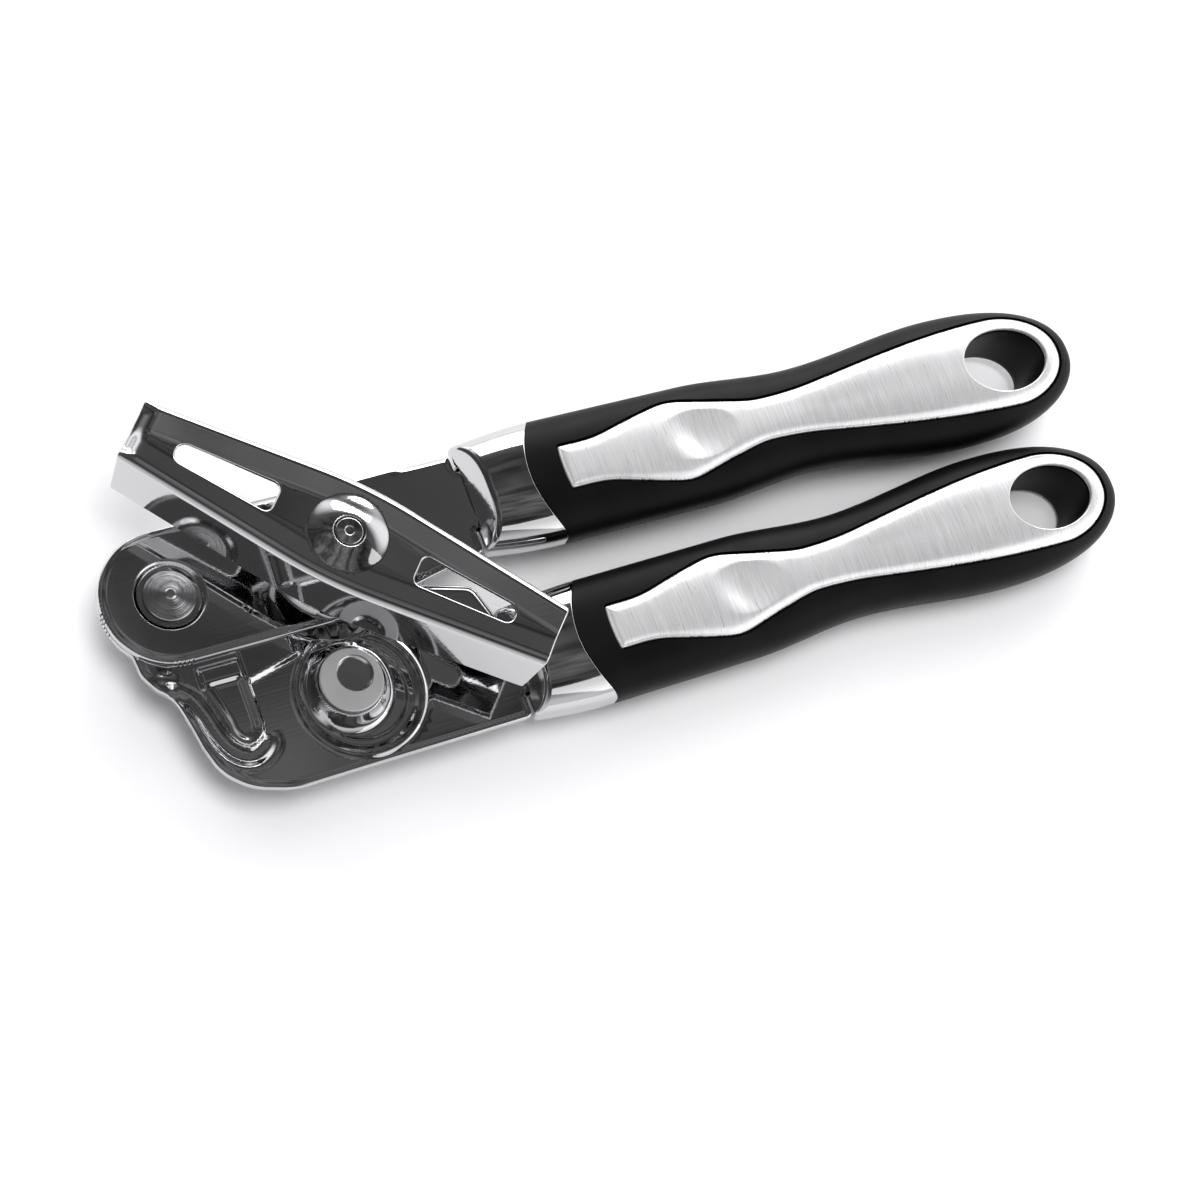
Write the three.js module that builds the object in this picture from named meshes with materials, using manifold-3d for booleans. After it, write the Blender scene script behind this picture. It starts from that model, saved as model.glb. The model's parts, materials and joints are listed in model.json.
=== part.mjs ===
// Manual can opener with two handles, a crank key and a pair of meshing gears.
// Millimetres. The model is laid out from the handle hinge: +X runs to the handle tips,
// +Y runs from the cutter arm to the drive arm, and +Z runs up to the crank key.
// The last lines move it so that its origin is under the middle of its box.

import * as THREE from 'three'
import { mergeVertices } from 'three/addons/utils/BufferGeometryUtils.js'
import { ParametricGeometry } from 'three/addons/geometries/ParametricGeometry.js'
import Module from 'manifold-3d'

const wasm = await Module()
wasm.setup()

// ---------------------------------------------------------------- driving dimensions

const sheet = 1.8 // steel of both arms
const gap = 0.3 // room between two pieces that touch
const noseRadius = 12.4 // round end of both arms, about the hinge

const driveTop = 0 // upper face of the drive arm
const driveUnder = driveTop - sheet
const cutterTop = driveUnder - gap // upper face of the cutter arm
const cutterUnder = cutterTop - sheet

const shaftAt = new THREE.Vector2(28.5, -2.3) // crank axis
const cutterAt = new THREE.Vector2(26.0, -22.9) // cutter wheel axis
const bossAt = new THREE.Vector2(25.1, -23.85) // pressed boss round the cutter axle
const dishAt = new THREE.Vector2(27.3, -25.3) // shallow dish round the boss
const dishDepth = 0.6

const teeth = 16
const gearSpacing = shaftAt.distanceTo(cutterAt)
const gearModule = gearSpacing / teeth
const gearThickness = 1.7
const gearTop = cutterUnder - dishDepth - gap
const gearUnder = gearTop - gearThickness

// Both handles are one shape, laid out from its ferrule front and its own plate's top.
const handles = {
  upper: { x: 58.7, y: 3.4, turn: THREE.MathUtils.degToRad(-0.57), plateTop: driveTop },
  lower: { x: 56.9, y: -28.2, turn: THREE.MathUtils.degToRad(0.57), plateTop: cutterTop }
}
const handleMiddle = -1.95 // the handle's middle plane, from the top of its plate
const handleLength = 135.9 // ferrule front to tip
const handleBulge = 7.8 // half thickness at the thickest place
const holeAt = 118.1 // hang hole, from the ferrule front
const holeHalfLength = 9.7
const holeHalfWidth = 6.6
const inlayFront = 18.3 // inlay's square end, from the ferrule front
const ferruleWall = 1.0
const ferruleFront = 1.4 // thickness of the ferrule's front
const frontLean = 0.6 // the ferrule's front leans back above the arm
const frontLeanUnder = 0.35 // and less under it
const gripWall = 2.2
const inlayThickness = 1.0

const keyHalfLength = 40.7
const keyEndHalf = 5.8
const keyMiddleHalf = 10.1
const keyTop = 17.6 // ridges along the key's edges
const keyFace = 16.8 // face between the ridges
const keySheet = 1.2
const keyLow = 7.8 // lower edge of the key's flanges
const keySplay = 2.0 // how far the flanges lean out
const keyBend = 9 // half length of the rounded middle
const keyRidge = 2.4 // width of the ridge along each edge
const keyBore = 2.0
const slotStart = 13.6 // the key's slots, from its centre
const slotEnd = 30.6
const slotWide = 2.9
const slotNarrow = 1.7
const keyAngle = THREE.MathUtils.degToRad(-42.8)

// ---------------------------------------------------------------- materials

function metal(color, roughness) {
  return new THREE.MeshStandardMaterial({ color, roughness, metalness: 1 })
}

function plastic(color, roughness) {
  return new THREE.MeshStandardMaterial({ color, roughness, metalness: 0 })
}

const chrome = metal(0xd8d8da, 0.06)
const brushed = metal(0xbdbdbf, 0.35)
const gearSteel = metal(0x8f9092, 0.3)
const softGrip = plastic(0x161617, 0.55)
const corePlastic = plastic(0x222224, 0.5)

// ---------------------------------------------------------------- solids

// A closed geometry as a solid, with shared vertices merged, flat triangles dropped
// and its faces turned outward.
function solid(geometry) {
  geometry.deleteAttribute('normal')
  geometry.deleteAttribute('uv')
  const merged = mergeVertices(geometry, 1e-4)
  const place = merged.attributes.position
  const corner = (i) => new THREE.Vector3().fromBufferAttribute(place, i)
  const triangles = []
  let volume = 0
  for (let i = 0; i < merged.index.count; i += 3) {
    const [a, b, c] = [0, 1, 2].map((k) => merged.index.getX(i + k))
    if (a === b || b === c || c === a) continue
    triangles.push([a, b, c])
    volume += corner(a).dot(corner(b).cross(corner(c)))
  }
  if (volume < 0) triangles.forEach((t) => t.reverse())
  return new wasm.Manifold(new wasm.Mesh({
    numProp: 3,
    vertProperties: new Float32Array(place.array),
    triVerts: new Uint32Array(triangles.flat())
  }))
}

function mesh(name, body, material) {
  const result = body.getMesh()
  const geometry = new THREE.BufferGeometry()
  geometry.setAttribute('position', new THREE.BufferAttribute(result.vertProperties, 3))
  geometry.setIndex(new THREE.BufferAttribute(result.triVerts, 1))
  geometry.computeVertexNormals()
  const piece = new THREE.Mesh(geometry, material)
  piece.name = name
  return piece
}

// A flat outline given a thickness between two heights.
function slab(shape, low, high, curveSegments = 10) {
  const geometry = new THREE.ExtrudeGeometry(shape, { depth: high - low, bevelEnabled: false, curveSegments })
  return solid(geometry.translate(0, 0, low))
}

// A turned piece about a vertical axis at a plan point. The profile lists [radius, height] pairs.
function turned(profile, at, segments = 32) {
  const points = profile.map(([radius, height]) => new THREE.Vector2(radius, height))
  const geometry = new THREE.LatheGeometry(points, segments)
  return solid(geometry.rotateX(Math.PI / 2).translate(at.x, at.y, 0))
}

function disc(radius, low, high, at, segments = 32) {
  return turned([[0, low], [radius, low], [radius, high], [0, high]], at, segments)
}

function tube(inner, outer, low, high, at, segments = 32) {
  return turned([[inner, low], [outer, low], [outer, high], [inner, high], [inner, low]], at, segments)
}

function block(x0, x1, y0, y1, z0, z1) {
  const geometry = new THREE.BoxGeometry(x1 - x0, y1 - y0, z1 - z0)
  return solid(geometry.translate((x0 + x1) / 2, (y0 + y1) / 2, (z0 + z1) / 2))
}

function ellipse(x, y, halfLength, halfWidth) {
  return new THREE.Shape().absellipse(x, y, halfLength, halfWidth, 0, 2 * Math.PI)
}

// ---------------------------------------------------------------- drive arm

// A point of a handle's own plan, x from its ferrule front and y across, in the arms' plan.
function onHandle(handle, x, y) {
  return new THREE.Vector2(x, y).rotateAround(new THREE.Vector2(), handle.turn)
    .add(new THREE.Vector2(handle.x, handle.y))
}

const tangHalf = 6
const tangLength = 72
const tangCorner = 5
const pinsAt = [30, 58] // tang pins, from the ferrule front
const shoulder = 0.4 // the arms' full width stops this far in front of the ferrule
const armHalfAtHandle = 10.3

// The tang's outline, from the arm's near shoulder round the tip to its far shoulder.
function drawTang(shape, handle) {
  const to = (x, y) => {
    const point = onHandle(handle, x, y)
    shape.lineTo(point.x, point.y)
  }
  to(-shoulder, -armHalfAtHandle)
  to(-shoulder, -tangHalf)
  to(tangLength - tangCorner, -tangHalf)
  to(tangLength, -tangHalf + tangCorner)
  to(tangLength, tangHalf - tangCorner)
  to(tangLength - tangCorner, tangHalf)
  to(-shoulder, tangHalf)
}

function tangHoles(handle) {
  return pinsAt.map((x) => disc(1.8, -20, 20, onHandle(handle, x, 0), 16))
    .reduce((a, b) => a.add(b))
}

const drumRadius = 8.9
const drumTop = 3.5
const wellRadius = 6.1
const wellDepth = 0.9
const hingeHole = 2.9
const bushHole = 5.0
const lipStart = 20
const lipLength = 18
const driveFarHalf = 12.8 // far edge of the drive arm at the ferrule

function makeDriveArm() {
  const outline = new THREE.Shape()
  outline.moveTo(0, noseRadius)
  outline.absarc(0, 0, noseRadius, Math.PI / 2, 1.5 * Math.PI)
  outline.lineTo(29, -noseRadius)
  drawTang(outline, handles.upper)
  outline.lineTo(handles.upper.x - shoulder, driveFarHalf)
  // a lip along the far edge leans down and out
  const lip = new THREE.Shape([[0, 0], [1.8, -1.9], [0.9, -2.9], [-1.2, -1.0], [-1.2, 0]]
    .map(([y, z]) => new THREE.Vector2(y, z)))
  const lipGeometry = new THREE.ExtrudeGeometry(lip, { depth: lipLength, bevelEnabled: false })
  lipGeometry.rotateX(Math.PI / 2).rotateZ(Math.PI / 2).translate(lipStart, noseRadius, 0)
  const drum = turned([[0, -1], [drumRadius + 0.6, -1], [drumRadius, 0.6], [drumRadius - 0.6, drumTop - 0.5],
    [drumRadius - 1.3, drumTop], [0, drumTop]], shaftAt)
  const hollow = disc(drumRadius - 2, -3, drumTop - 1.5, shaftAt)
  return slab(outline, driveUnder, driveTop)
    .add(solid(lipGeometry))
    .add(drum)
    .subtract(hollow)
    .subtract(disc(bushHole + gap, -5, 9, shaftAt))
    .subtract(disc(wellRadius, driveTop - wellDepth, 5, new THREE.Vector2()))
    .subtract(disc(hingeHole + gap, -9, 9, new THREE.Vector2()))
    .subtract(tangHoles(handles.upper))
}

// ---------------------------------------------------------------- cutter arm

const bottomEdge = -38.6 // long lower edge of the cutter arm
const dishFloor = 9.8 // radii of the dish's floor and rim
const dishRim = 10.9
const bossTop = 1.2
const shaftClearance = 12.7 // concave edge of the cutter arm, round the crank axis
const tongueHalf = 3.7
const tongueMiddle = 4.7
const tongueTip = -29.2
const liftDrop = 0.9 // how far the cap lifter's tongue is set down

function makeCutterArm() {
  const lower = handles.lower
  const outline = new THREE.Shape()
  outline.moveTo(-9.1, -8.4)
  outline.lineTo(-8.8, -11.8)
  outline.lineTo(-7.2, -15.4)
  outline.quadraticCurveTo(-4.7, -17.0, -4.2, -19.5)
  outline.lineTo(-2.9, -26.5)
  outline.quadraticCurveTo(-0.6, bottomEdge, 16.0, bottomEdge)
  drawTang(outline, lower)
  const near = onHandle(lower, -shoulder, armHalfAtHandle)
  outline.lineTo(near.x, near.y)
  outline.lineTo(54.5, -12)
  outline.lineTo(46, -9.5)
  const start = THREE.MathUtils.degToRad(-30)
  const end = THREE.MathUtils.degToRad(-150)
  outline.absarc(shaftAt.x, shaftAt.y, shaftClearance, start, end, true)
  outline.lineTo(12.0, 3.0)
  outline.absarc(0, 0, noseRadius - 0.1, Math.atan2(3, 12), Math.PI + Math.atan2(8.4, 9.1))
  const window = new THREE.Shape()
  window.moveTo(tongueMiddle - tongueHalf - 1.2, -18.8)
  window.lineTo(tongueMiddle + tongueHalf + 1.2, -18.8)
  window.lineTo(tongueMiddle + tongueHalf + 1.2, tongueTip + tongueHalf)
  window.absarc(tongueMiddle, tongueTip + tongueHalf, tongueHalf + 1.2, 0, Math.PI, true)
  const tongue = new THREE.Shape()
  tongue.moveTo(tongueMiddle - tongueHalf, -17.5)
  tongue.lineTo(tongueMiddle + tongueHalf, -17.5)
  tongue.lineTo(tongueMiddle + tongueHalf, tongueTip + tongueHalf)
  tongue.absarc(tongueMiddle, tongueTip + tongueHalf, tongueHalf, 0, Math.PI, true)
  const floor = cutterTop - dishDepth
  const dish = turned([[0, floor], [dishFloor, floor], [dishRim, cutterTop + 0.1], [0, cutterTop + 0.1]], dishAt)
  const bulge = turned([[0, cutterUnder - dishDepth], [dishFloor, cutterUnder - dishDepth],
    [dishRim, cutterUnder + 0.1], [0, cutterUnder + 0.1]], dishAt)
  const boss = turned([[0, floor], [8.4, floor], [7.3, floor + 1.1], [6.6, floor + 2.4], [6.1, bossTop],
    [0, bossTop]], bossAt)
  const under = disc(6.4, cutterUnder - 3, cutterUnder + 1.0, bossAt)
  return slab(outline, cutterUnder, cutterTop)
    .subtract(slab(window, cutterUnder - 1, cutterTop + 1))
    .add(slab(tongue, cutterUnder, cutterTop - liftDrop))
    .add(bulge)
    .subtract(dish)
    .add(boss)
    .subtract(under)
    .subtract(disc(3.0 + gap, -9, 9, cutterAt))
    .subtract(disc(hingeHole + gap, -9, 9, new THREE.Vector2()))
    .subtract(tangHoles(lower))
}

// ---------------------------------------------------------------- hinge

const rivetHeadRadius = 4.7

function makeHingeRivet() {
  const floor = driveTop - wellDepth + gap
  const low = cutterUnder - gap
  return turned([[0, low - 1.6], [3.6, low - 1.3], [4.9, low], [hingeHole, low], [hingeHole, floor],
    [rivetHeadRadius, floor], [4.1, floor + 0.9], [2.2, floor + 1.5], [0, floor + 1.7]], new THREE.Vector2())
}

// ---------------------------------------------------------------- crank train

const shaftRadius = 2.9
const bushTop = drumTop + gap + 1.2

const bushFlange = 6.9

function makeBushing() {
  const bore = shaftRadius + gap
  return turned([[bore, driveUnder], [bushHole, driveUnder], [bushHole, drumTop + gap],
    [bushFlange, drumTop + gap], [bushFlange, bushTop], [bore, bushTop], [bore, driveUnder]], shaftAt)
}

const hubLow = bushTop + gap
const hubTop = keyFace - keySheet - gap
const feedTop = gearUnder - gap
const feedUnder = feedTop - 1.3
const nutTop = feedUnder - gap
const nutUnder = cutterTop + handleMiddle - handleBulge // level with the lower handle's underside

// Key outline in its own plan: u along the key and v across it, inset by a margin.
function keyOutline(inset, overrun) {
  const slope = (keyMiddleHalf - keyEndHalf) / keyHalfLength
  const reach = keyHalfLength + overrun
  const endHalf = keyEndHalf - inset - slope * overrun
  const bend = keyBend
  const bendHalf = keyMiddleHalf - inset - slope * bend
  const shape = new THREE.Shape()
  shape.moveTo(-reach, -endHalf)
  shape.lineTo(-bend, -bendHalf)
  shape.quadraticCurveTo(0, -(keyMiddleHalf - inset), bend, -bendHalf)
  shape.lineTo(reach, -endHalf)
  shape.lineTo(reach, endHalf)
  shape.lineTo(bend, bendHalf)
  shape.quadraticCurveTo(0, keyMiddleHalf - inset, -bend, bendHalf)
  shape.lineTo(-reach, endHalf)
  return shape
}

// A slab of the key's outline whose long sides lean out toward the bottom.
function leaning(shape, low, high) {
  const options = { depth: high - low, bevelEnabled: false, curveSegments: 6 }
  const geometry = new THREE.ExtrudeGeometry(shape, options)
  const place = geometry.translate(0, 0, low).attributes.position
  for (let i = 0; i < place.count; i += 1) {
    const lean = keySplay * (keyTop - place.getZ(i)) / (keyTop - keyLow)
    place.setY(i, place.getY(i) + Math.sign(place.getY(i)) * lean)
  }
  return solid(geometry)
}

// One tapered slot, wide toward the middle of the key.
function keySlot(side) {
  const shape = new THREE.Shape()
  shape.moveTo(side * slotStart, -slotWide)
  shape.lineTo(side * slotStart, slotWide)
  shape.lineTo(side * slotEnd, slotNarrow)
  shape.absarc(side * slotEnd, 0, slotNarrow, Math.PI / 2, -Math.PI / 2, side > 0)
  return slab(shape, keyLow, keyTop + 1, 6)
}

const domeRadius = 6.7
const domeSeat = keyFace + 0.6 // floor of the dome's middle, under the shaft's head

function makeKey() {
  const centre = new THREE.Vector2()
  const dome = turned([[0, keyFace - keySheet], [domeRadius, keyFace - keySheet], [domeRadius, keyFace],
    [domeRadius - 0.5, keyFace + 1.0], [domeRadius - 1.8, keyFace + 1.9], [domeRadius - 2.8, keyFace + 1.7],
    [domeRadius - 3.8, domeSeat], [0, domeSeat]], centre)
  return leaning(keyOutline(0, 0), keyLow, keyTop)
    .subtract(leaning(keyOutline(keySheet, 3), keyLow - 3, keyFace - keySheet))
    .subtract(slab(keyOutline(keyRidge, 3), keyFace, keyTop + 3, 6))
    .add(dome)
    .subtract(keySlot(1))
    .subtract(keySlot(-1))
    .subtract(disc(keyBore + gap, 0, 30, centre, 24))
}

function makeShaft() {
  const headLow = domeSeat + gap
  return turned([[0, nutUnder], [shaftRadius, nutUnder], [shaftRadius, hubTop], [keyBore, hubTop],
    [keyBore, headLow], [2.6, headLow], [2.4, headLow + 0.5], [0, headLow + 0.7]], shaftAt)
}

// A spur gear outline whose first tooth points along the given direction.
function gearShape(direction) {
  const pitch = gearSpacing / 2
  const step = 2 * Math.PI / teeth
  const flank = [[pitch - 1.25 * gearModule, 0.3], [pitch, 0.22], [pitch + 0.9 * gearModule, 0.11]]
  const points = []
  for (let i = 0; i < teeth; i += 1) {
    const middle = direction + i * step
    const rising = flank.map(([radius, half]) => [radius, middle - half * step])
    const falling = flank.map(([radius, half]) => [radius, middle + half * step]).reverse()
    for (const [radius, angle] of [...rising, ...falling]) {
      points.push(new THREE.Vector2(radius * Math.cos(angle), radius * Math.sin(angle)))
    }
  }
  return new THREE.Shape(points)
}

const nutRadius = 5.2

function makeNut() {
  return disc(nutRadius, nutUnder, nutTop, shaftAt, 6).subtract(disc(shaftRadius + gap, -20, 20, shaftAt))
}

const meshAngle = Math.atan2(cutterAt.y - shaftAt.y, cutterAt.x - shaftAt.x)

function makeGear(at, direction, bore) {
  const options = { depth: gearThickness, bevelEnabled: false }
  const geometry = new THREE.ExtrudeGeometry(gearShape(direction), options)
  return solid(geometry.translate(at.x, at.y, gearUnder)).subtract(disc(bore, -20, 20, at))
}

const feedRadius = 9.4
const feedTeeth = 40
const feedToothDepth = 0.7

function makeFeedWheel() {
  const points = []
  for (let i = 0; i < feedTeeth; i += 1) {
    const angle = 2 * Math.PI * i / feedTeeth
    const root = angle + Math.PI / feedTeeth
    const valley = feedRadius - feedToothDepth
    points.push(new THREE.Vector2(feedRadius * Math.cos(angle), feedRadius * Math.sin(angle)))
    points.push(new THREE.Vector2(valley * Math.cos(root), valley * Math.sin(root)))
  }
  const shape = new THREE.Shape(points)
  const geometry = new THREE.ExtrudeGeometry(shape, { depth: feedTop - feedUnder, bevelEnabled: false })
  return solid(geometry.translate(shaftAt.x, shaftAt.y, feedUnder))
    .subtract(disc(shaftRadius + gap, -20, 20, shaftAt))
}

// ---------------------------------------------------------------- cutter train

const axleRadius = 3.0
const cutterRadius = 11.6
const bladeTop = feedUnder - gap
const bladeUnder = bladeTop - 0.9
const bladeHub = 5.2
const axleHead = 5.8
const axleLow = bladeUnder - gap - 0.2
const screwRadius = 1.5
const screwHead = 4.6
const screwTop = -4.5

function makeCutterWheel() {
  const bore = axleRadius + gap
  return turned([[bore, feedTop], [bladeHub, feedTop], [bladeHub, bladeTop], [cutterRadius, bladeTop],
    [cutterRadius, bladeTop - 0.15], [cutterRadius - 2, bladeUnder], [bore, bladeUnder], [bore, feedTop]],
  cutterAt, 48)
}

// A hollow stud: its flat head is off the axis, so that turning it sets the cutter's place.
function makeCutterAxle() {
  const headLow = bossTop + gap
  return disc(axleHead, headLow, headLow + 0.8, bossAt)
    .add(disc(axleRadius, axleLow, headLow + 0.4, cutterAt))
    .subtract(turned([[0, headLow - 2.8], [3.5, headLow + 0.9], [3.5, 9], [0, 9]], cutterAt))
    .subtract(disc(screwRadius + gap, -20, screwTop + 2.3, cutterAt, 20))
}

function makeCutterScrew() {
  const seat = axleLow - gap
  return turned([[0, nutUnder], [screwHead - 0.2, nutUnder], [screwHead, nutUnder + 0.3], [screwHead, seat],
    [screwRadius, seat], [screwRadius, screwTop], [0, screwTop]], cutterAt)
}

// ---------------------------------------------------------------- handles

function ease(t) {
  return t * t * (3 - 2 * t)
}

const taperEnd = 16 // stations along the handle, from the ferrule front
const waistStart = 48
const waistAt = 71
const bulgeAt = 107

// Half width or half thickness of the handle at a distance, from its halves at the stations.
function handleHalf(x, { front, base, waist, bulge, power }) {
  if (x < taperEnd) return front + (base - front) * Math.sin(0.5 * Math.PI * x / taperEnd)
  if (x < waistStart) return base
  if (x < waistAt) return base + (waist - base) * ease((x - waistStart) / (waistAt - waistStart))
  if (x < bulgeAt) return waist + (bulge - waist) * ease((x - waistAt) / (bulgeAt - waistAt))
  const t = Math.min(1, (x - bulgeAt) / (handleLength - bulgeAt))
  return bulge * (1 - t ** power) ** (1 / power)
}

const widths = { front: 10.6, base: 12.0, waist: 10.4, bulge: 13.55, power: 2.4 }
const thicknesses = { front: 7.0, base: 7.5, waist: 7.0, bulge: handleBulge, power: 4 }
const halfWidth = (x) => handleHalf(x, widths)
const halfThickness = (x) => handleHalf(x, thicknesses)

// A body with rounded sections along the handle, between two distances, inside the handle's skin.
function handleBody(from, to, inset, slices, stacks) {
  const power = 2 / 2.5
  const surface = (u, v, target) => {
    const t = Math.min(1, Math.max(0, (v * (stacks + 2) - 1) / stacks))
    const x = from + (to - from) * (to >= handleLength - 1 ? Math.sin(0.5 * Math.PI * t) ** 0.9 : t)
    const isCap = v === 0 || v === 1
    const angle = 2 * Math.PI * u
    const across = Math.sign(Math.cos(angle)) * Math.abs(Math.cos(angle)) ** power
    const up = Math.sign(Math.sin(angle)) * Math.abs(Math.sin(angle)) ** power
    const wide = isCap ? 0 : Math.max(0, halfWidth(x) - inset)
    const tall = isCap ? 0 : Math.max(0, halfThickness(x) - inset)
    target.set(x, wide * across, handleMiddle + tall * up)
  }
  return solid(new ParametricGeometry(surface, slices, stacks + 2))
}

// The inlay's outline, grown by a margin: a square end, a swelling round the thumb dimple,
// a neck, and a round end about the hang hole.
function inlayShape(grow) {
  const half = [[0, 4.4], [8, 4.5], [22.5, 8.0], [27, 8.0], [44, 4.4], [62, 6.1], [82, 8.7], [100, 9.6]]
  const side = new THREE.SplineCurve(half.slice(1).map(([x, y]) => new THREE.Vector2(x, y))).getPoints(16)
  const start = new THREE.Vector2(half[0][0] - grow, half[0][1])
  const upper = [start, ...side].map((p) => new THREE.Vector2(p.x + inlayFront, p.y + grow))
  const shape = new THREE.Shape()
  shape.moveTo(upper[0].x, -upper[0].y)
  upper.slice(1).forEach((p) => shape.lineTo(p.x, -p.y))
  shape.absellipse(inlayFront + 100, 0, 13.4 + grow, 9.6 + grow, -Math.PI / 2, Math.PI / 2)
  upper.slice(0, -1).reverse().forEach((p) => shape.lineTo(p.x, p.y))
  return shape
}

const gripArcRadius = 16 // the grip's front edge, seen from above
const gripArcAt = 11.2 + gripArcRadius
const coreEnd = 103.5
const coreJoin = 12
const pinRadius = 1.5

const hangHole = (grow) => slab(ellipse(holeAt, 0, holeHalfLength + grow, holeHalfWidth + grow), -20, 20, 14)
const local = (x) => new THREE.Vector2(x, 0)

// The room in front of a chisel-shaped front whose blunt edge lies across the plate.
function frontRoom(edge) {
  const reach = 20
  const outline = new THREE.Shape([
    new THREE.Vector2(edge, -sheet),
    new THREE.Vector2(edge, 0),
    new THREE.Vector2(edge + frontLean * reach, reach),
    new THREE.Vector2(-reach, reach),
    new THREE.Vector2(-reach, -sheet - reach),
    new THREE.Vector2(edge + frontLeanUnder * reach, -sheet - reach)
  ])
  const geometry = new THREE.ExtrudeGeometry(outline, { depth: 2 * reach, bevelEnabled: false })
  return solid(geometry.rotateX(Math.PI / 2).translate(0, reach, 0))
}

function makeFerrule() {
  const shell = handleBody(-1, 18, 0, 32, 5).subtract(frontRoom(0))
  const room = handleBody(-1, 20, ferruleWall, 24, 5).subtract(frontRoom(ferruleFront))
  return shell.subtract(room)
    .subtract(disc(gripArcRadius + gap, -20, 20, local(gripArcAt), 64))
    .subtract(block(-2, 5, -tangHalf - gap, tangHalf + gap, -sheet - gap, gap))
}

function makeCore() {
  const slot = block(-5, tangLength + gap, -tangHalf - gap, tangHalf + gap, -sheet - gap, gap)
  const pins = pinsAt.map((x) => disc(pinRadius + gap, -20, 20, local(x), 16)).reduce((a, b) => a.add(b))
  const middle = handleBody(coreJoin, coreEnd, gripWall + gap, 20, 9)
  const front = handleBody(-1, coreJoin + 2, gripWall + gap, 20, 4).subtract(frontRoom(ferruleFront + gap))
  return front.add(middle).subtract(slot).subtract(pins)
}

function makeGrip() {
  const pocket = slab(inlayShape(gap), handleMiddle + 2, 20)
    .subtract(handleBody(6, handleLength - 0.9, inlayThickness + gap, 32, 18))
  const keep = disc(gripArcRadius, -20, 20, local(gripArcAt), 64).add(block(gripArcAt, 150, -20, 20, -20, 20))
  return handleBody(8, handleLength, 0, 32, 20)
    .intersect(keep)
    .subtract(handleBody(5, coreEnd + gap, gripWall, 20, 10))
    .subtract(pocket)
    .subtract(hangHole(0))
}

function makeInlay() {
  return slab(inlayShape(0), handleMiddle + 2, 20)
    .intersect(handleBody(8, handleLength, 0, 32, 20))
    .subtract(handleBody(6, handleLength - 0.9, inlayThickness, 32, 18))
    .subtract(hangHole(0))
}

function makePin(x) {
  const reach = halfThickness(x) - gripWall - 2 * gap - 0.4
  return disc(pinRadius, handleMiddle - reach, handleMiddle + reach, local(x), 16)
}

// ---------------------------------------------------------------- assembly

const opener = new THREE.Group()
opener.add(
  mesh('drive_arm', makeDriveArm(), chrome),
  mesh('cutter_arm', makeCutterArm(), chrome),
  mesh('hinge_rivet', makeHingeRivet(), chrome),
  mesh('shaft_bushing', makeBushing(), gearSteel),
  mesh('drive_shaft', makeShaft(), chrome),
  mesh('crank_hub', tube(shaftRadius + gap, 4.6, hubLow, hubTop, shaftAt), chrome),
  mesh('drive_gear', makeGear(shaftAt, meshAngle, shaftRadius + gap), gearSteel),
  mesh('feed_wheel', makeFeedWheel(), gearSteel),
  mesh('shaft_nut', makeNut(), gearSteel),
  mesh('cutter_axle', makeCutterAxle(), brushed),
  mesh('cutter_gear', makeGear(cutterAt, meshAngle + Math.PI + Math.PI / teeth, axleRadius + gap), gearSteel),
  mesh('cutter_wheel', makeCutterWheel(), gearSteel),
  mesh('cutter_screw', makeCutterScrew(), gearSteel)
)

const key = mesh('crank_key', makeKey(), chrome)
key.position.set(shaftAt.x, shaftAt.y, 0)
key.rotation.z = keyAngle
opener.add(key)

for (const [side, handle] of Object.entries(handles)) {
  const holder = new THREE.Group()
  holder.position.set(handle.x, handle.y, handle.plateTop)
  holder.rotation.z = handle.turn
  holder.add(
    mesh(`${side}_ferrule`, makeFerrule(), chrome),
    mesh(`${side}_handle_core`, makeCore(), corePlastic),
    mesh(`${side}_grip`, makeGrip(), softGrip),
    mesh(`${side}_inlay`, makeInlay(), brushed),
    mesh(`${side}_front_tang_pin`, makePin(pinsAt[0]), gearSteel),
    mesh(`${side}_rear_tang_pin`, makePin(pinsAt[1]), gearSteel)
  )
  opener.add(holder)
}

// The origin goes under the middle of the box, on the surface that the opener lies on.
opener.updateMatrixWorld(true)
const box = new THREE.Box3().setFromObject(opener, true)
opener.position.set(-(box.min.x + box.max.x) / 2, -(box.min.y + box.max.y) / 2, -box.min.z)

export default opener
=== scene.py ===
"""Looks of a manual can opener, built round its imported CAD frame.

Pieces are drawn in millimetres in the hinge frame: the origin is on the handle hinge at the top
face of the drive arm, +X runs to the handle tips, +Y to the drive arm's side and +Z up to the key.
"""

import json
import math

import bpy
import numpy as np
from mathutils import Matrix, Vector
from mathutils.geometry import delaunay_2d_cdt


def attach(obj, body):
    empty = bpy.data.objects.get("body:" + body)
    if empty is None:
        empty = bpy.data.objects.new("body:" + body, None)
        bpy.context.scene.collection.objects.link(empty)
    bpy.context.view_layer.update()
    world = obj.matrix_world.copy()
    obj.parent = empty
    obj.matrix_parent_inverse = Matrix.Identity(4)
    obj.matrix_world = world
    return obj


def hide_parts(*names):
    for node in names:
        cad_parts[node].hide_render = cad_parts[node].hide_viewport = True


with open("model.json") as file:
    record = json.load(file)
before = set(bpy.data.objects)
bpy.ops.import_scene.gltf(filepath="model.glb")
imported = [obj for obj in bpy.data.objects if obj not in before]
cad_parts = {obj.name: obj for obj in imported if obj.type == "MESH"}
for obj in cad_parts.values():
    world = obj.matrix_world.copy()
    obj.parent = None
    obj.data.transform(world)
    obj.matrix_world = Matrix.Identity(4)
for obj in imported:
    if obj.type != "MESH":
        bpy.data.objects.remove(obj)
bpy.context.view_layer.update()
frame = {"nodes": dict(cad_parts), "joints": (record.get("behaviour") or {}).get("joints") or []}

MM = 0.001
JOINTS = {joint["name"]: joint for joint in frame["joints"]}
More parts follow.
